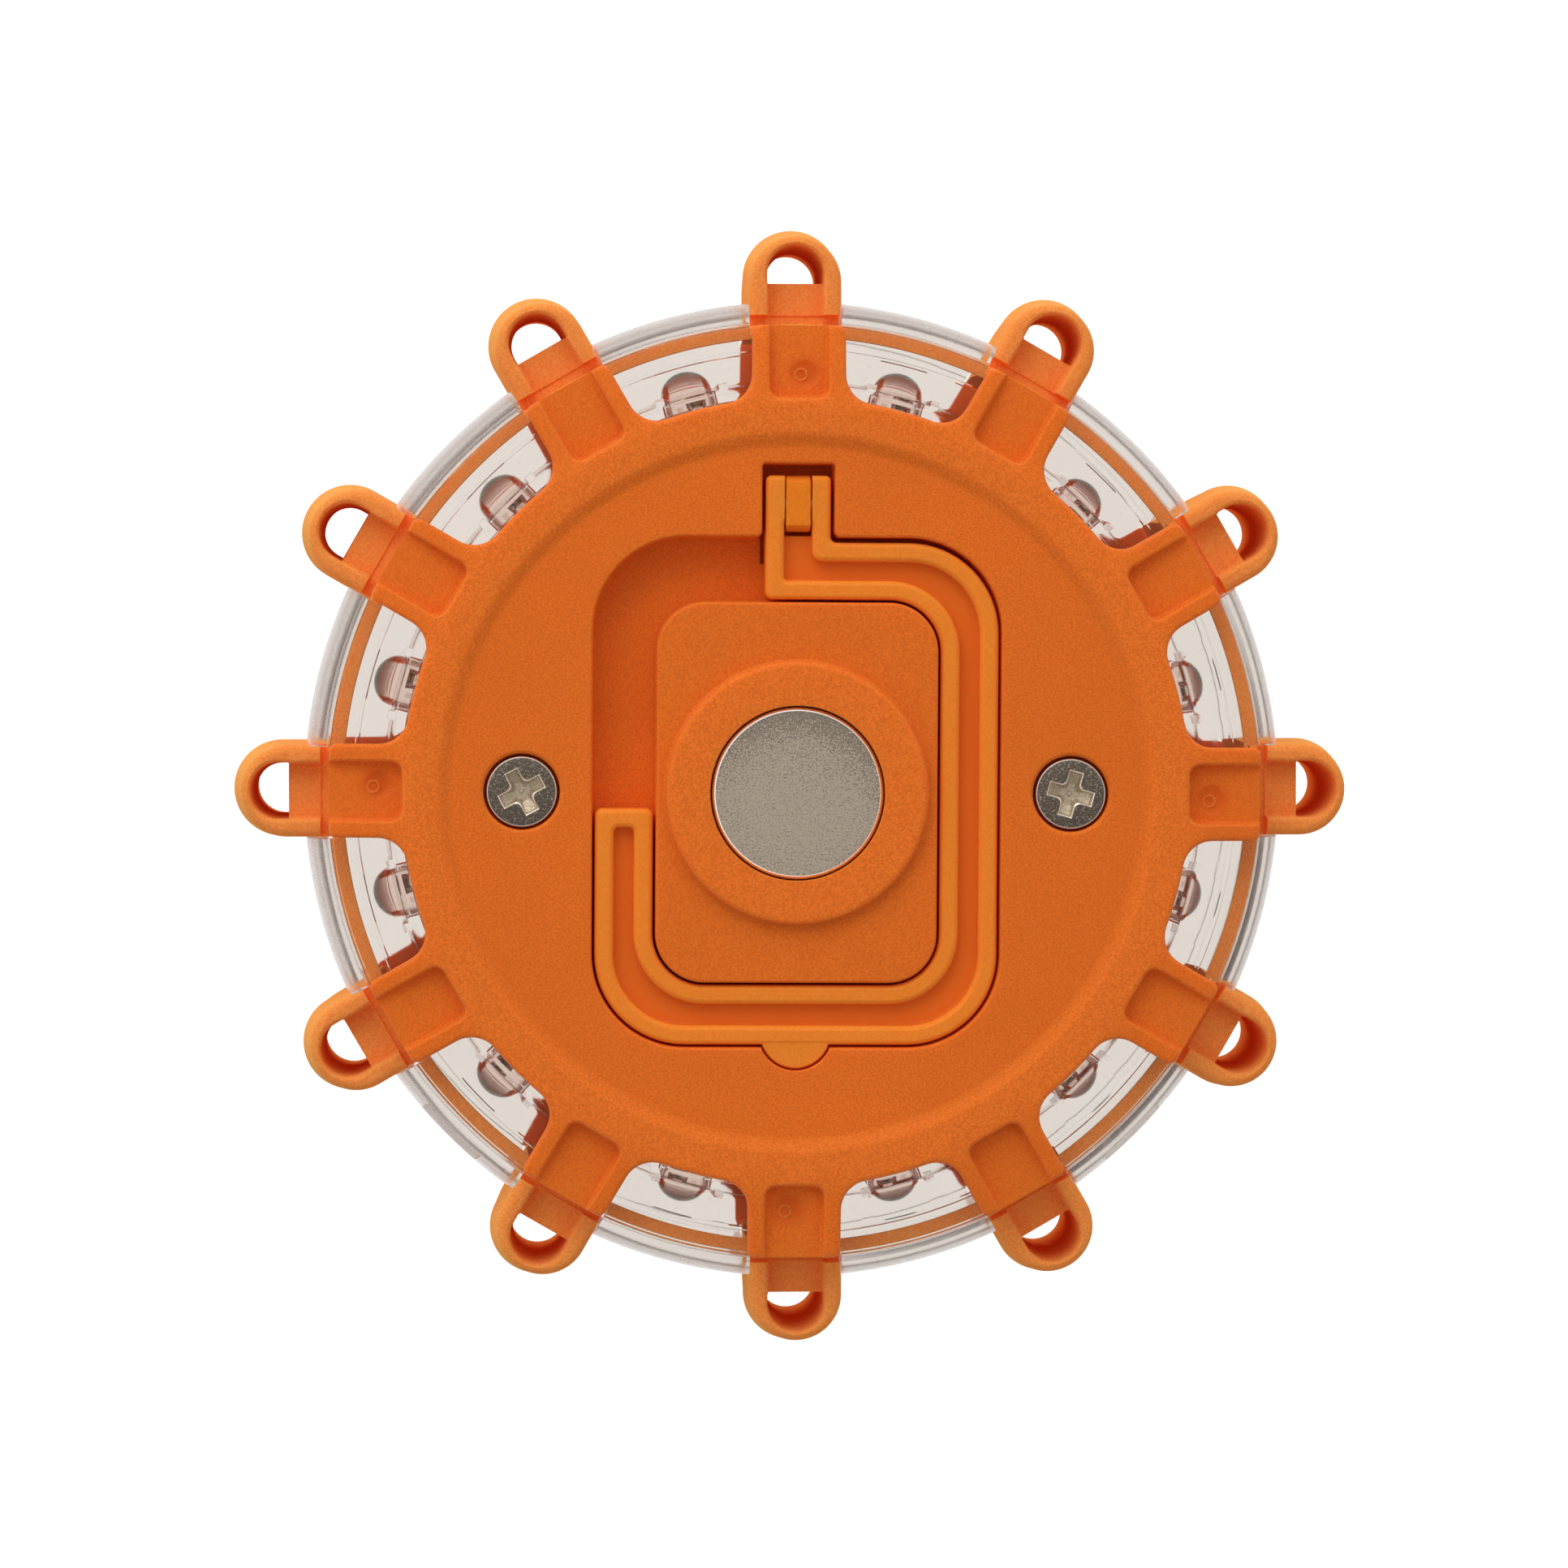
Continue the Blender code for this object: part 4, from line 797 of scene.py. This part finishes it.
def build_loops():
    root = HOOP_R0 + 0.1
    rr = 0.80
    upper = [(0.0, 0.0, 0.0), (0.02, 0.02, 0.12)]
    for i in range(7):         # draft up to the shoulder, then a rounded edge, rounder still at the tip
        t = HALF * i / 6
        upper.append((0.30 + rr * (1 - math.cos(t)), 1.10 + 1.20 * rr * (1 - math.cos(t)), LOOP_Z1 - MID_Z - rr * (1 - math.sin(t))))
    outline = [(at(loop_outline(LOOP_HALF_W - dw, LOOP_TIP_R - dt, root), MID_Z + h), at(loop_outline(LOOP_HALF_W - dw, LOOP_TIP_R - dt, root), MID_Z - h))
               for dw, dt, h in upper]
    loop = loft('loop', [low for _, low in reversed(outline[1:])] + [high for high, _ in outline])
    # hole with drafted halves that meet in a parting line, rounded brims at both ends
    wall, brim = 2.76, 0.5
    half = [(2.46, 0.0), (2.50, 0.12), (wall, 6.5)]
    for i in range(5):
        t = math.radians(72) * i / 4
        half.append((wall + brim * (1 - math.cos(t)), LOOP_Z1 - MID_Z + brim * (math.sin(t) - 1)))
    half.append((half[-1][0] + 0.285, half[-1][1] + 0.093))
    half.append((half[-1][0], half[-1][1] + 3.0))
    hole = hole_outline(LOOP_HOLE_R, LOOP_HOLE_U)
    cut(loop, loft('hole', [at(offset(hole, r - LOOP_HOLE_R), MID_Z - h) for r, h in reversed(half[1:])]
                   + [at(offset(hole, r - LOOP_HOLE_R), MID_Z + h) for r, h in half]))
    w = wall - 0.08
    sunk = [(43.0, -w), (LOOP_HOLE_U + 0.7, -w), (LOOP_HOLE_U + 0.7, w), (43.0, w)]
    cut(loop, pit('sunk_back', sunk, LOOP_Z1 - LOOP_FLOOR_DEPTH, LOOP_Z1, brim, 0.25))
    cut(loop, turn_over(pit('sunk_front', sunk, LOOP_Z1 - LOOP_FLOOR_DEPTH, LOOP_Z1, brim, 0.25)))
    cut(loop, prism('root_gap', rect(44.3, 46.05, -6.0, 6.0), LOOP_Z1 - 2.4, LOOP_Z1 + 2.0))
    ring = ring_lathe('ring', [(HOOP_R0 + 0.50, HOOP_Z0 + 1.15), (HOOP_R0 + 0.65, HOOP_Z0 + 1.0), (HOOP_R1 - 0.15, HOOP_Z0 + 1.0), (HOOP_R1, HOOP_Z0 + 1.15),
                               (HOOP_R1, HOOP_Z1 - 0.1), (HOOP_R1 - 0.1, HOOP_Z1), (HOOP_R0 - 0.05, HOOP_Z1), (HOOP_R0 - 0.13, HOOP_Z1 - 0.1)], 240)
    add(ring, spread(loop, LOOP_ANGLES))
    ring.data.transform(Matrix.Translation((LOOP_SHIFT[0] * MM, LOOP_SHIFT[1] * MM, 0)) @ Matrix.Rotation(LOOP_TURN, 4, 'Z'))
    return piece(ring, 'loop_ring_moulding', ['loop_ring'], 'housing', 'orange_plastic', [orange_loops_painted_sheen])


# ------------------------------------------------------------------ lens shells
def lens_shell(name, seg=216):
    under = LENS_TOP_Z - LENS_PLATE_T
    joint = MID_Z + 0.12
    prof = [(LENS_R_IN, LENS_TOP_Z - 0.1), (LENS_R_IN + 0.1, LENS_TOP_Z), (42.3, LENS_TOP_Z), (42.42, LENS_TOP_Z - 0.07), (42.62, LENS_TOP_Z - 0.07),
            (42.74, LENS_TOP_Z), (44.85, LENS_TOP_Z), (45.0, LENS_TOP_Z - 0.1), (45.08, 29.1), (45.3, 29.02), (45.75, 28.95), (46.2, 28.72),
            (46.6, 28.28), (46.9, 27.6), (47.15, 26.7), (47.35, 25.6), (LENS_R_OUT, 24.2), (LENS_R_OUT, joint + 0.15),
            (LENS_R_OUT - 0.15, joint), (LENS_WALL_R, joint), (LENS_WALL_R, under - 0.4), (LENS_WALL_R - 0.12, under - 0.12), (LENS_WALL_R - 0.4, under),
            (LENS_NECK_R1 + 0.5, under), (LENS_NECK_R1 + 0.12, under - 0.14), (LENS_NECK_R1, under - 0.5), (LENS_NECK_R1, joint),
            (LENS_NECK_R0, joint), (LENS_NECK_R0, under), (LENS_R_IN, under)]
    ob = ring_lathe(name, prof, seg)
    way = prism('way', [(43.0, 10.0), (52.0, 10.0), (52.0, 36.0), (44.0, 36.0), (44.0, under - 0.2), (43.0, under - 0.2)],
                -LOOP_HALF_W + 0.30, LOOP_HALF_W - 0.30)
    way.data.transform(Matrix(((1, 0, 0, 0), (0, 0, -1, 0), (0, 1, 0, 0), (0, 0, 0, 1))))
    cut(ob, spread(way, [a + LOOP_TURN for a in LOOP_ANGLES]))
    hole = x_cyl('led_way', 0, MID_Z, LED_R + 0.2, 34.0, 42.0, 40)
    cut(ob, spread(hole, WINDOW_ANGLES))
    return ob


def led_posts(name):
    """Two small clear posts beside each LED, standing under the lens plate."""
    out = []
    under = LENS_TOP_Z - LENS_PLATE_T
    for a in WINDOW_ANGLES:
        for v in (-3.15, 3.15):
            p = prism('post', rect(LENS_NECK_R1 - 0.3, LENS_NECK_R1 + 0.55, v - 0.42, v + 0.42), MID_Z + 0.3, under + 0.2)
            p.data.transform(Matrix.Rotation(a, 4, 'Z'))
            out.append(p)
    return out


def build_lenses():
    back = lens_shell('back_lens')
    for a in (1.25 * math.pi, 1.75 * math.pi):
        cut(back, spread(prism('flat', rect(46.35, 52.0, -3.6, 3.6), 25.4, 36.0), [a]))
    posts = led_posts('posts')
    first = posts.pop(0)
    merge(first, posts)
    add(back, first)
    let_light_in(piece(back, 'lens_back_clear', ['lens_back'], 'housing', 'clear_lens', [clear], sharp=24.0))
    front = turn_over(lens_shell('front_lens'))
    let_light_in(piece(front, 'lens_front_clear', ['lens_front'], 'housing', 'clear_lens', [clear], sharp=24.0))


# ------------------------------------------------------------------ LEDs
def build_led(k, angle):
    prof = [(0.0, LED_TIP_U)]
    for i in range(1, 12):
        t = HALF * (1 - i / 12)
        prof.append((LED_R * math.cos(t), LED_DOME_U + (LED_TIP_U - LED_DOME_U) * math.sin(t)))
    prof += [(LED_R, LED_DOME_U), (LED_R, LED_BASE_U + LED_FLANGE_T + 0.1), (LED_R + 0.1, LED_BASE_U + LED_FLANGE_T),
             (LED_FLANGE_R - 0.1, LED_BASE_U + LED_FLANGE_T), (LED_FLANGE_R, LED_BASE_U + LED_FLANGE_T - 0.1),
             (LED_FLANGE_R, LED_BASE_U + 0.1), (LED_FLANGE_R - 0.1, LED_BASE_U), (0.0, LED_BASE_U)]
    body = solid_lathe('led', prof, 48)
    turn = Matrix.Translation((0, 0, MID_Z * MM)) @ Matrix.Rotation(HALF, 4, 'Y')
    body.data.transform(turn)
    n_body = len(body.data.polygons)
    h = LEAD_W / 2
    leads = []
    for side in (-1, 1):
        v = side * LEAD_PITCH / 2
        lead = prism('lead', rect(LEAD_U, LED_BASE_U + 0.6, v - h, v + h), MID_Z - h, MID_Z + h)
        add(lead, prism('drop', rect(LEAD_U, LEAD_U + LEAD_W, v - h, v + h), BOARD_TOP_Z + FIT, MID_Z + h * 0.5))
        leads.append(lead)
    # lead frame inside the epoxy: the reflector cup on one side, the bond post on the other
    cup = solid_lathe('cup', [(0.0, 38.5), (0.42, 38.5), (0.85, 39.1), (0.95, 39.1), (0.80, 37.9), (0.50, 37.4), (0.0, 37.4)], 24)
    cup.data.transform(Matrix.Translation((0, -0.55 * MM, 0)) @ turn)
    post = prism('bond', rect(37.4, 38.9, 0.75, 1.25), MID_Z - 0.35, MID_Z + 0.35)
    merge(body, leads + [cup, post])
    for i, p in enumerate(body.data.polygons):
        p.material_index = 0 if i < n_body else 1
    body.data.transform(Matrix.Rotation(angle, 4, 'Z'))
    ob = piece(body, 'led_%02d_clear' % (k + 1), ['led_%02d' % (k + 1)], 'housing', 'led_clear', [led_clear, steel], sharp=30.0, weighted=False)
    return let_light_in(ob)


# ------------------------------------------------------------------ magnet and screws
def build_magnet():
    prof = [(0.0, MAGNET_Z), (MAGNET_R - 0.34, MAGNET_Z), (MAGNET_R - 0.02, MAGNET_Z - 0.30), (MAGNET_R, MAGNET_Z - 0.38),
            (MAGNET_R, MAGNET_Z - MAGNET_T + 0.2), (MAGNET_R - 0.2, MAGNET_Z - MAGNET_T), (0.0, MAGNET_Z - MAGNET_T)]
    return piece(solid_lathe('m', prof, 160), 'magnet_disc', ['magnet'], 'housing', 'magnet_nickel', [magnet_plating], sharp=15.0)


def cross_outline(arm, w, f, n=4):
    """A cross with filleted inner corners."""
    pts = []
    for q in range(4):
        a = q * HALF
        corner = [(arm, -w), (arm, w)] + arc(w + f, w + f, f, 3 * HALF, 2 * HALF, n)
        ca, sa = math.cos(a), math.sin(a)
        pts += [(x * ca - y * sa, x * sa + y * ca) for x, y in corner]
    return tidy(pts)


def build_screw(label, x, turn, mat_):
    top, hr, ht, sr = SCREW_TOP_Z, SCREW_HEAD_R, SCREW_HEAD_T, SCREW_SHANK_R
    prof = [(0.0, top), (hr - 0.16, top), (hr - 0.07, top - 0.03), (hr - 0.01, top - 0.12), (hr, top - 0.22), (hr, top - ht + 0.1), (hr - 0.1, top - ht),
            (sr, top - ht)]
    z, end = top - ht - 0.4, top - ht - SCREW_LEN + 1.2
    while z > end:        # thread crests
        prof += [(sr - 0.32, z), (sr, z - 0.3)]
        z -= 0.6
    prof += [(sr * 0.4, top - ht - SCREW_LEN), (0.0, top - ht - SCREW_LEN)]
    ob = solid_lathe('s', prof, 96)
    arms = [at(cross_outline(0.95, 0.34, 0.20), top - 1.35), at(cross_outline(1.15, 0.46, 0.30), top - 1.20), at(cross_outline(2.02, 0.55, 0.45), top - 0.75),
            at(cross_outline(2.14, 0.61, 0.50), top - 0.13), at(cross_outline(2.30, 0.75, 0.50), top + 0.02), at(cross_outline(2.30, 0.75, 0.50), top + 1.0)]
    cross = loft('cross', arms)
    cross.data.transform(Matrix.Rotation(math.radians(turn), 4, 'Z'))
    cut(ob, cross)
    pip = solid_lathe('pip', [(0.0, top - 1.15), (0.18, top - 1.22), (0.32, top - 1.5), (0.0, top - 1.6)], 16)
    add(ob, pip)
    ob.data.transform(Matrix.Translation((x * MM, 0, 0)))
    return piece(ob, 'screw_%s_head' % label, ['cover_screw_' + label], 'housing', 'screw_steel', [mat_], sharp=30.0)


# ------------------------------------------------------------------ button
def build_button():
    prof = [(0.0, BUTTON_STEM_Z), (1.6, BUTTON_STEM_Z), (1.6, BUTTON_FLANGE_Z1), (BUTTON_FLANGE_R, BUTTON_FLANGE_Z1), (BUTTON_FLANGE_R, BUTTON_FLANGE_Z0),
            (BUTTON_R, BUTTON_FLANGE_Z0), (BUTTON_R, BUTTON_FACE_Z + 0.55), (BUTTON_R - 0.12, BUTTON_FACE_Z + 0.27), (BUTTON_R - 0.35, BUTTON_FACE_Z + 0.08),
            (BUTTON_R - 0.7, BUTTON_FACE_Z), (5.95, BUTTON_FACE_Z), (5.8, BUTTON_FACE_Z + 0.28), (5.3, BUTTON_FACE_Z + 0.28), (5.15, BUTTON_FACE_Z + 0.04),
            (4.6, BUTTON_FACE_Z + 0.06), (3.2, BUTTON_FACE_Z + 0.22), (1.6, BUTTON_FACE_Z + 0.34), (0.0, BUTTON_FACE_Z + 0.38)]
    ob = solid_lathe('b', prof, 96)
    return piece(ob, 'power_button_cap', ['power_button'], 'button', 'black_rubber', [black_rubber], sharp=40.0)


build_back_cover()
build_front_cover()
build_hook()
build_loops()
build_lenses()
for k, a in enumerate(WINDOW_ANGLES):
    build_led(k, a)
build_magnet()
build_screw('left', -SCREW_X, 28.0, screw_left_m)
build_screw('right', SCREW_X, -15.0, screw_right_m)
build_button()

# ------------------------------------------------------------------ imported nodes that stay
FINISH = {
    'hook_pin': (steel, 'contact_steel'), 'cover_gasket': (black_rubber, 'black_rubber'), 'switch_body': (switch_case, 'switch_case'),
    'switch_plunger': (tray_black, 'black_plastic'), 'circuit_board': (board_mask, 'board_green'), 'board_screw_1': (steel, 'screw_steel'),
    'board_screw_2': (steel, 'screw_steel'), 'battery_tray': (tray_black, 'black_plastic'),
}
for i in (1, 2, 3):
    FINISH['battery_cell_%d' % i] = (cell_sleeve, 'cell_jacket')
    FINISH['contact_spring_%d' % i] = (steel, 'contact_steel')
    FINISH['contact_plate_%d' % i] = (steel, 'contact_steel')
for name, (m, s) in FINISH.items():
    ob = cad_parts[name]
    ob.data.materials.clear()
    ob.data.materials.append(m)
    ob.data.shade_smooth()
    ob.data.set_sharp_from_angle(angle=math.radians(40))

# ------------------------------------------------------------------ floor, light and camera
WORLD_LOW, WORLD_HIGH, WORLD_TOP, WORLD_UNDER = 0.25, 0.88, 0.70, 0.60
floor_bm = bmesh.new()
bmesh.ops.create_grid(floor_bm, x_segments=1, y_segments=1, size=3.0)
floor = new_obj('floor', floor_bm)
floor.location = (0, 0, -0.0006)
fm = bpy.data.materials.new('floor_white')
fm.use_nodes = True
b = fm.node_tree.nodes['Principled BSDF']
b.inputs['Base Color'].default_value = (0.12, 0.12, 0.12, 1.0)
b.inputs['Roughness'].default_value = 0.9
b.inputs['Specular IOR Level'].default_value = 0.0
b.inputs['Emission Color'].default_value = (1.0, 1.0, 1.0, 1.0)
b.inputs['Emission Strength'].default_value = 1.0
floor.data.materials.append(fm)
floor.visible_diffuse = False

# a low pale wall around the floor, seen only in reflections and through clear pieces
wall_bm = bmesh.new()
rows = [[wall_bm.verts.new((0.72 * math.cos(math.radians(3 * i)), 0.72 * math.sin(math.radians(3 * i)), h_)) for i in range(120)] for h_ in (0.0, 0.17)]
for i in range(120):
    wall_bm.faces.new((rows[0][i], rows[1][i], rows[1][i - 1], rows[0][i - 1]))
wall = new_obj('studio_wall', wall_bm)
wm = bpy.data.materials.new('wall_white')
wm.use_nodes = True
b = wm.node_tree.nodes['Principled BSDF']
b.inputs['Base Color'].default_value = (0.3, 0.3, 0.3, 1.0)
b.inputs['Roughness'].default_value = 0.9
b.inputs['Emission Color'].default_value = (1.0, 0.97, 0.94, 1.0)
b.inputs['Emission Strength'].default_value = 0.85
wall.data.materials.append(wm)
wall.visible_camera = False
wall.visible_diffuse = False
wall.visible_shadow = False

world = bpy.data.worlds.new('studio')
bpy.context.scene.world = world
world.use_nodes = True
wt = world.node_tree
way_ = wt.nodes.new('ShaderNodeTexCoord').outputs['Generated']


def world_map(fac, a0, a1, lo_, hi_):
    m = wt.nodes.new('ShaderNodeMapRange')
    m.interpolation_type = 'SMOOTHSTEP'
    for k_, v_ in (('From Min', a0), ('From Max', a1), ('To Min', lo_), ('To Max', hi_)):
        m.inputs[k_].default_value = v_
    wt.links.new(fac, m.inputs['Value'])
    return m.outputs['Result']


lean = wt.nodes.new('ShaderNodeVectorMath')
lean.operation = 'DOT_PRODUCT'
lean.inputs[1].default_value = Vector((-0.25, 0.88, 0.40)).normalized()
wt.links.new(way_, lean.inputs[0])
apart = wt.nodes.new('ShaderNodeSeparateXYZ')
wt.links.new(way_, apart.inputs[0])
soft_side = world_map(lean.outputs['Value'], -0.9, 0.9, WORLD_LOW, WORLD_HIGH)
overhead = world_map(apart.outputs['Z'], 0.70, 1.0, 1.0, WORLD_TOP)
both = wt.nodes.new('ShaderNodeMath')
both.operation = 'MULTIPLY'
wt.links.new(soft_side, both.inputs[0])
wt.links.new(overhead, both.inputs[1])
under_ = world_map(apart.outputs['Z'], -0.30, 0.02, WORLD_UNDER, 0.0)
whole = wt.nodes.new('ShaderNodeMath')
whole.operation = 'ADD'
wt.links.new(both.outputs['Value'], whole.inputs[0])
wt.links.new(under_, whole.inputs[1])
back = wt.nodes['Background']
back.inputs['Color'].default_value = (1.0, 0.985, 0.96, 1.0)
wt.links.new(whole.outputs['Value'], back.inputs['Strength'])


def area(name, place, aim, size, power, colour=(1.0, 0.98, 0.95)):
    d = bpy.data.lights.new(name, 'AREA')
    d.shape = 'RECTANGLE'
    d.size, d.size_y = size
    d.energy = power
    d.color = colour
    o = bpy.data.objects.new(name, d)
    o.location = place
    o.rotation_mode = 'QUATERNION'
    o.rotation_quaternion = (Vector(aim) - Vector(place)).to_track_quat('-Z', 'Y')
    bpy.context.scene.collection.objects.link(o)
    return o


area('key', (-0.27, 0.66, 0.56), (0, 0, 0.03), (0.80, 0.55), 2.6)

cam_data = bpy.data.cameras.new('view')
cam_data.sensor_width = 36.0
cam_data.lens = 127.4
cam_data.clip_start, cam_data.clip_end = 0.01, 20.0
cam = bpy.data.objects.new('view', cam_data)
bpy.context.scene.collection.objects.link(cam)
CAM_AT, CAM_TO, ROLL = Vector((-0.02806, 0.01811, 0.564)), Vector((-0.00134, 0.00090, 0.033)), 0.0059
look = (CAM_TO - CAM_AT).normalized()
right = look.cross(Vector((0, 1, 0))).normalized()
up = right.cross(look)
basis = Matrix((right, up, -look)).transposed().to_4x4()
cam.matrix_world = Matrix.Translation(CAM_AT) @ basis @ Matrix.Rotation(ROLL, 4, 'Z')
bpy.context.scene.camera = cam

scene = bpy.context.scene
scene.view_settings.view_transform = 'Standard'
scene.view_settings.look = 'None'
scene.cycles.max_bounces = 24
scene.cycles.transmission_bounces = 20
scene.cycles.transparent_max_bounces = 16
scene.cycles.diffuse_bounces = 12
scene.cycles.glossy_bounces = 16
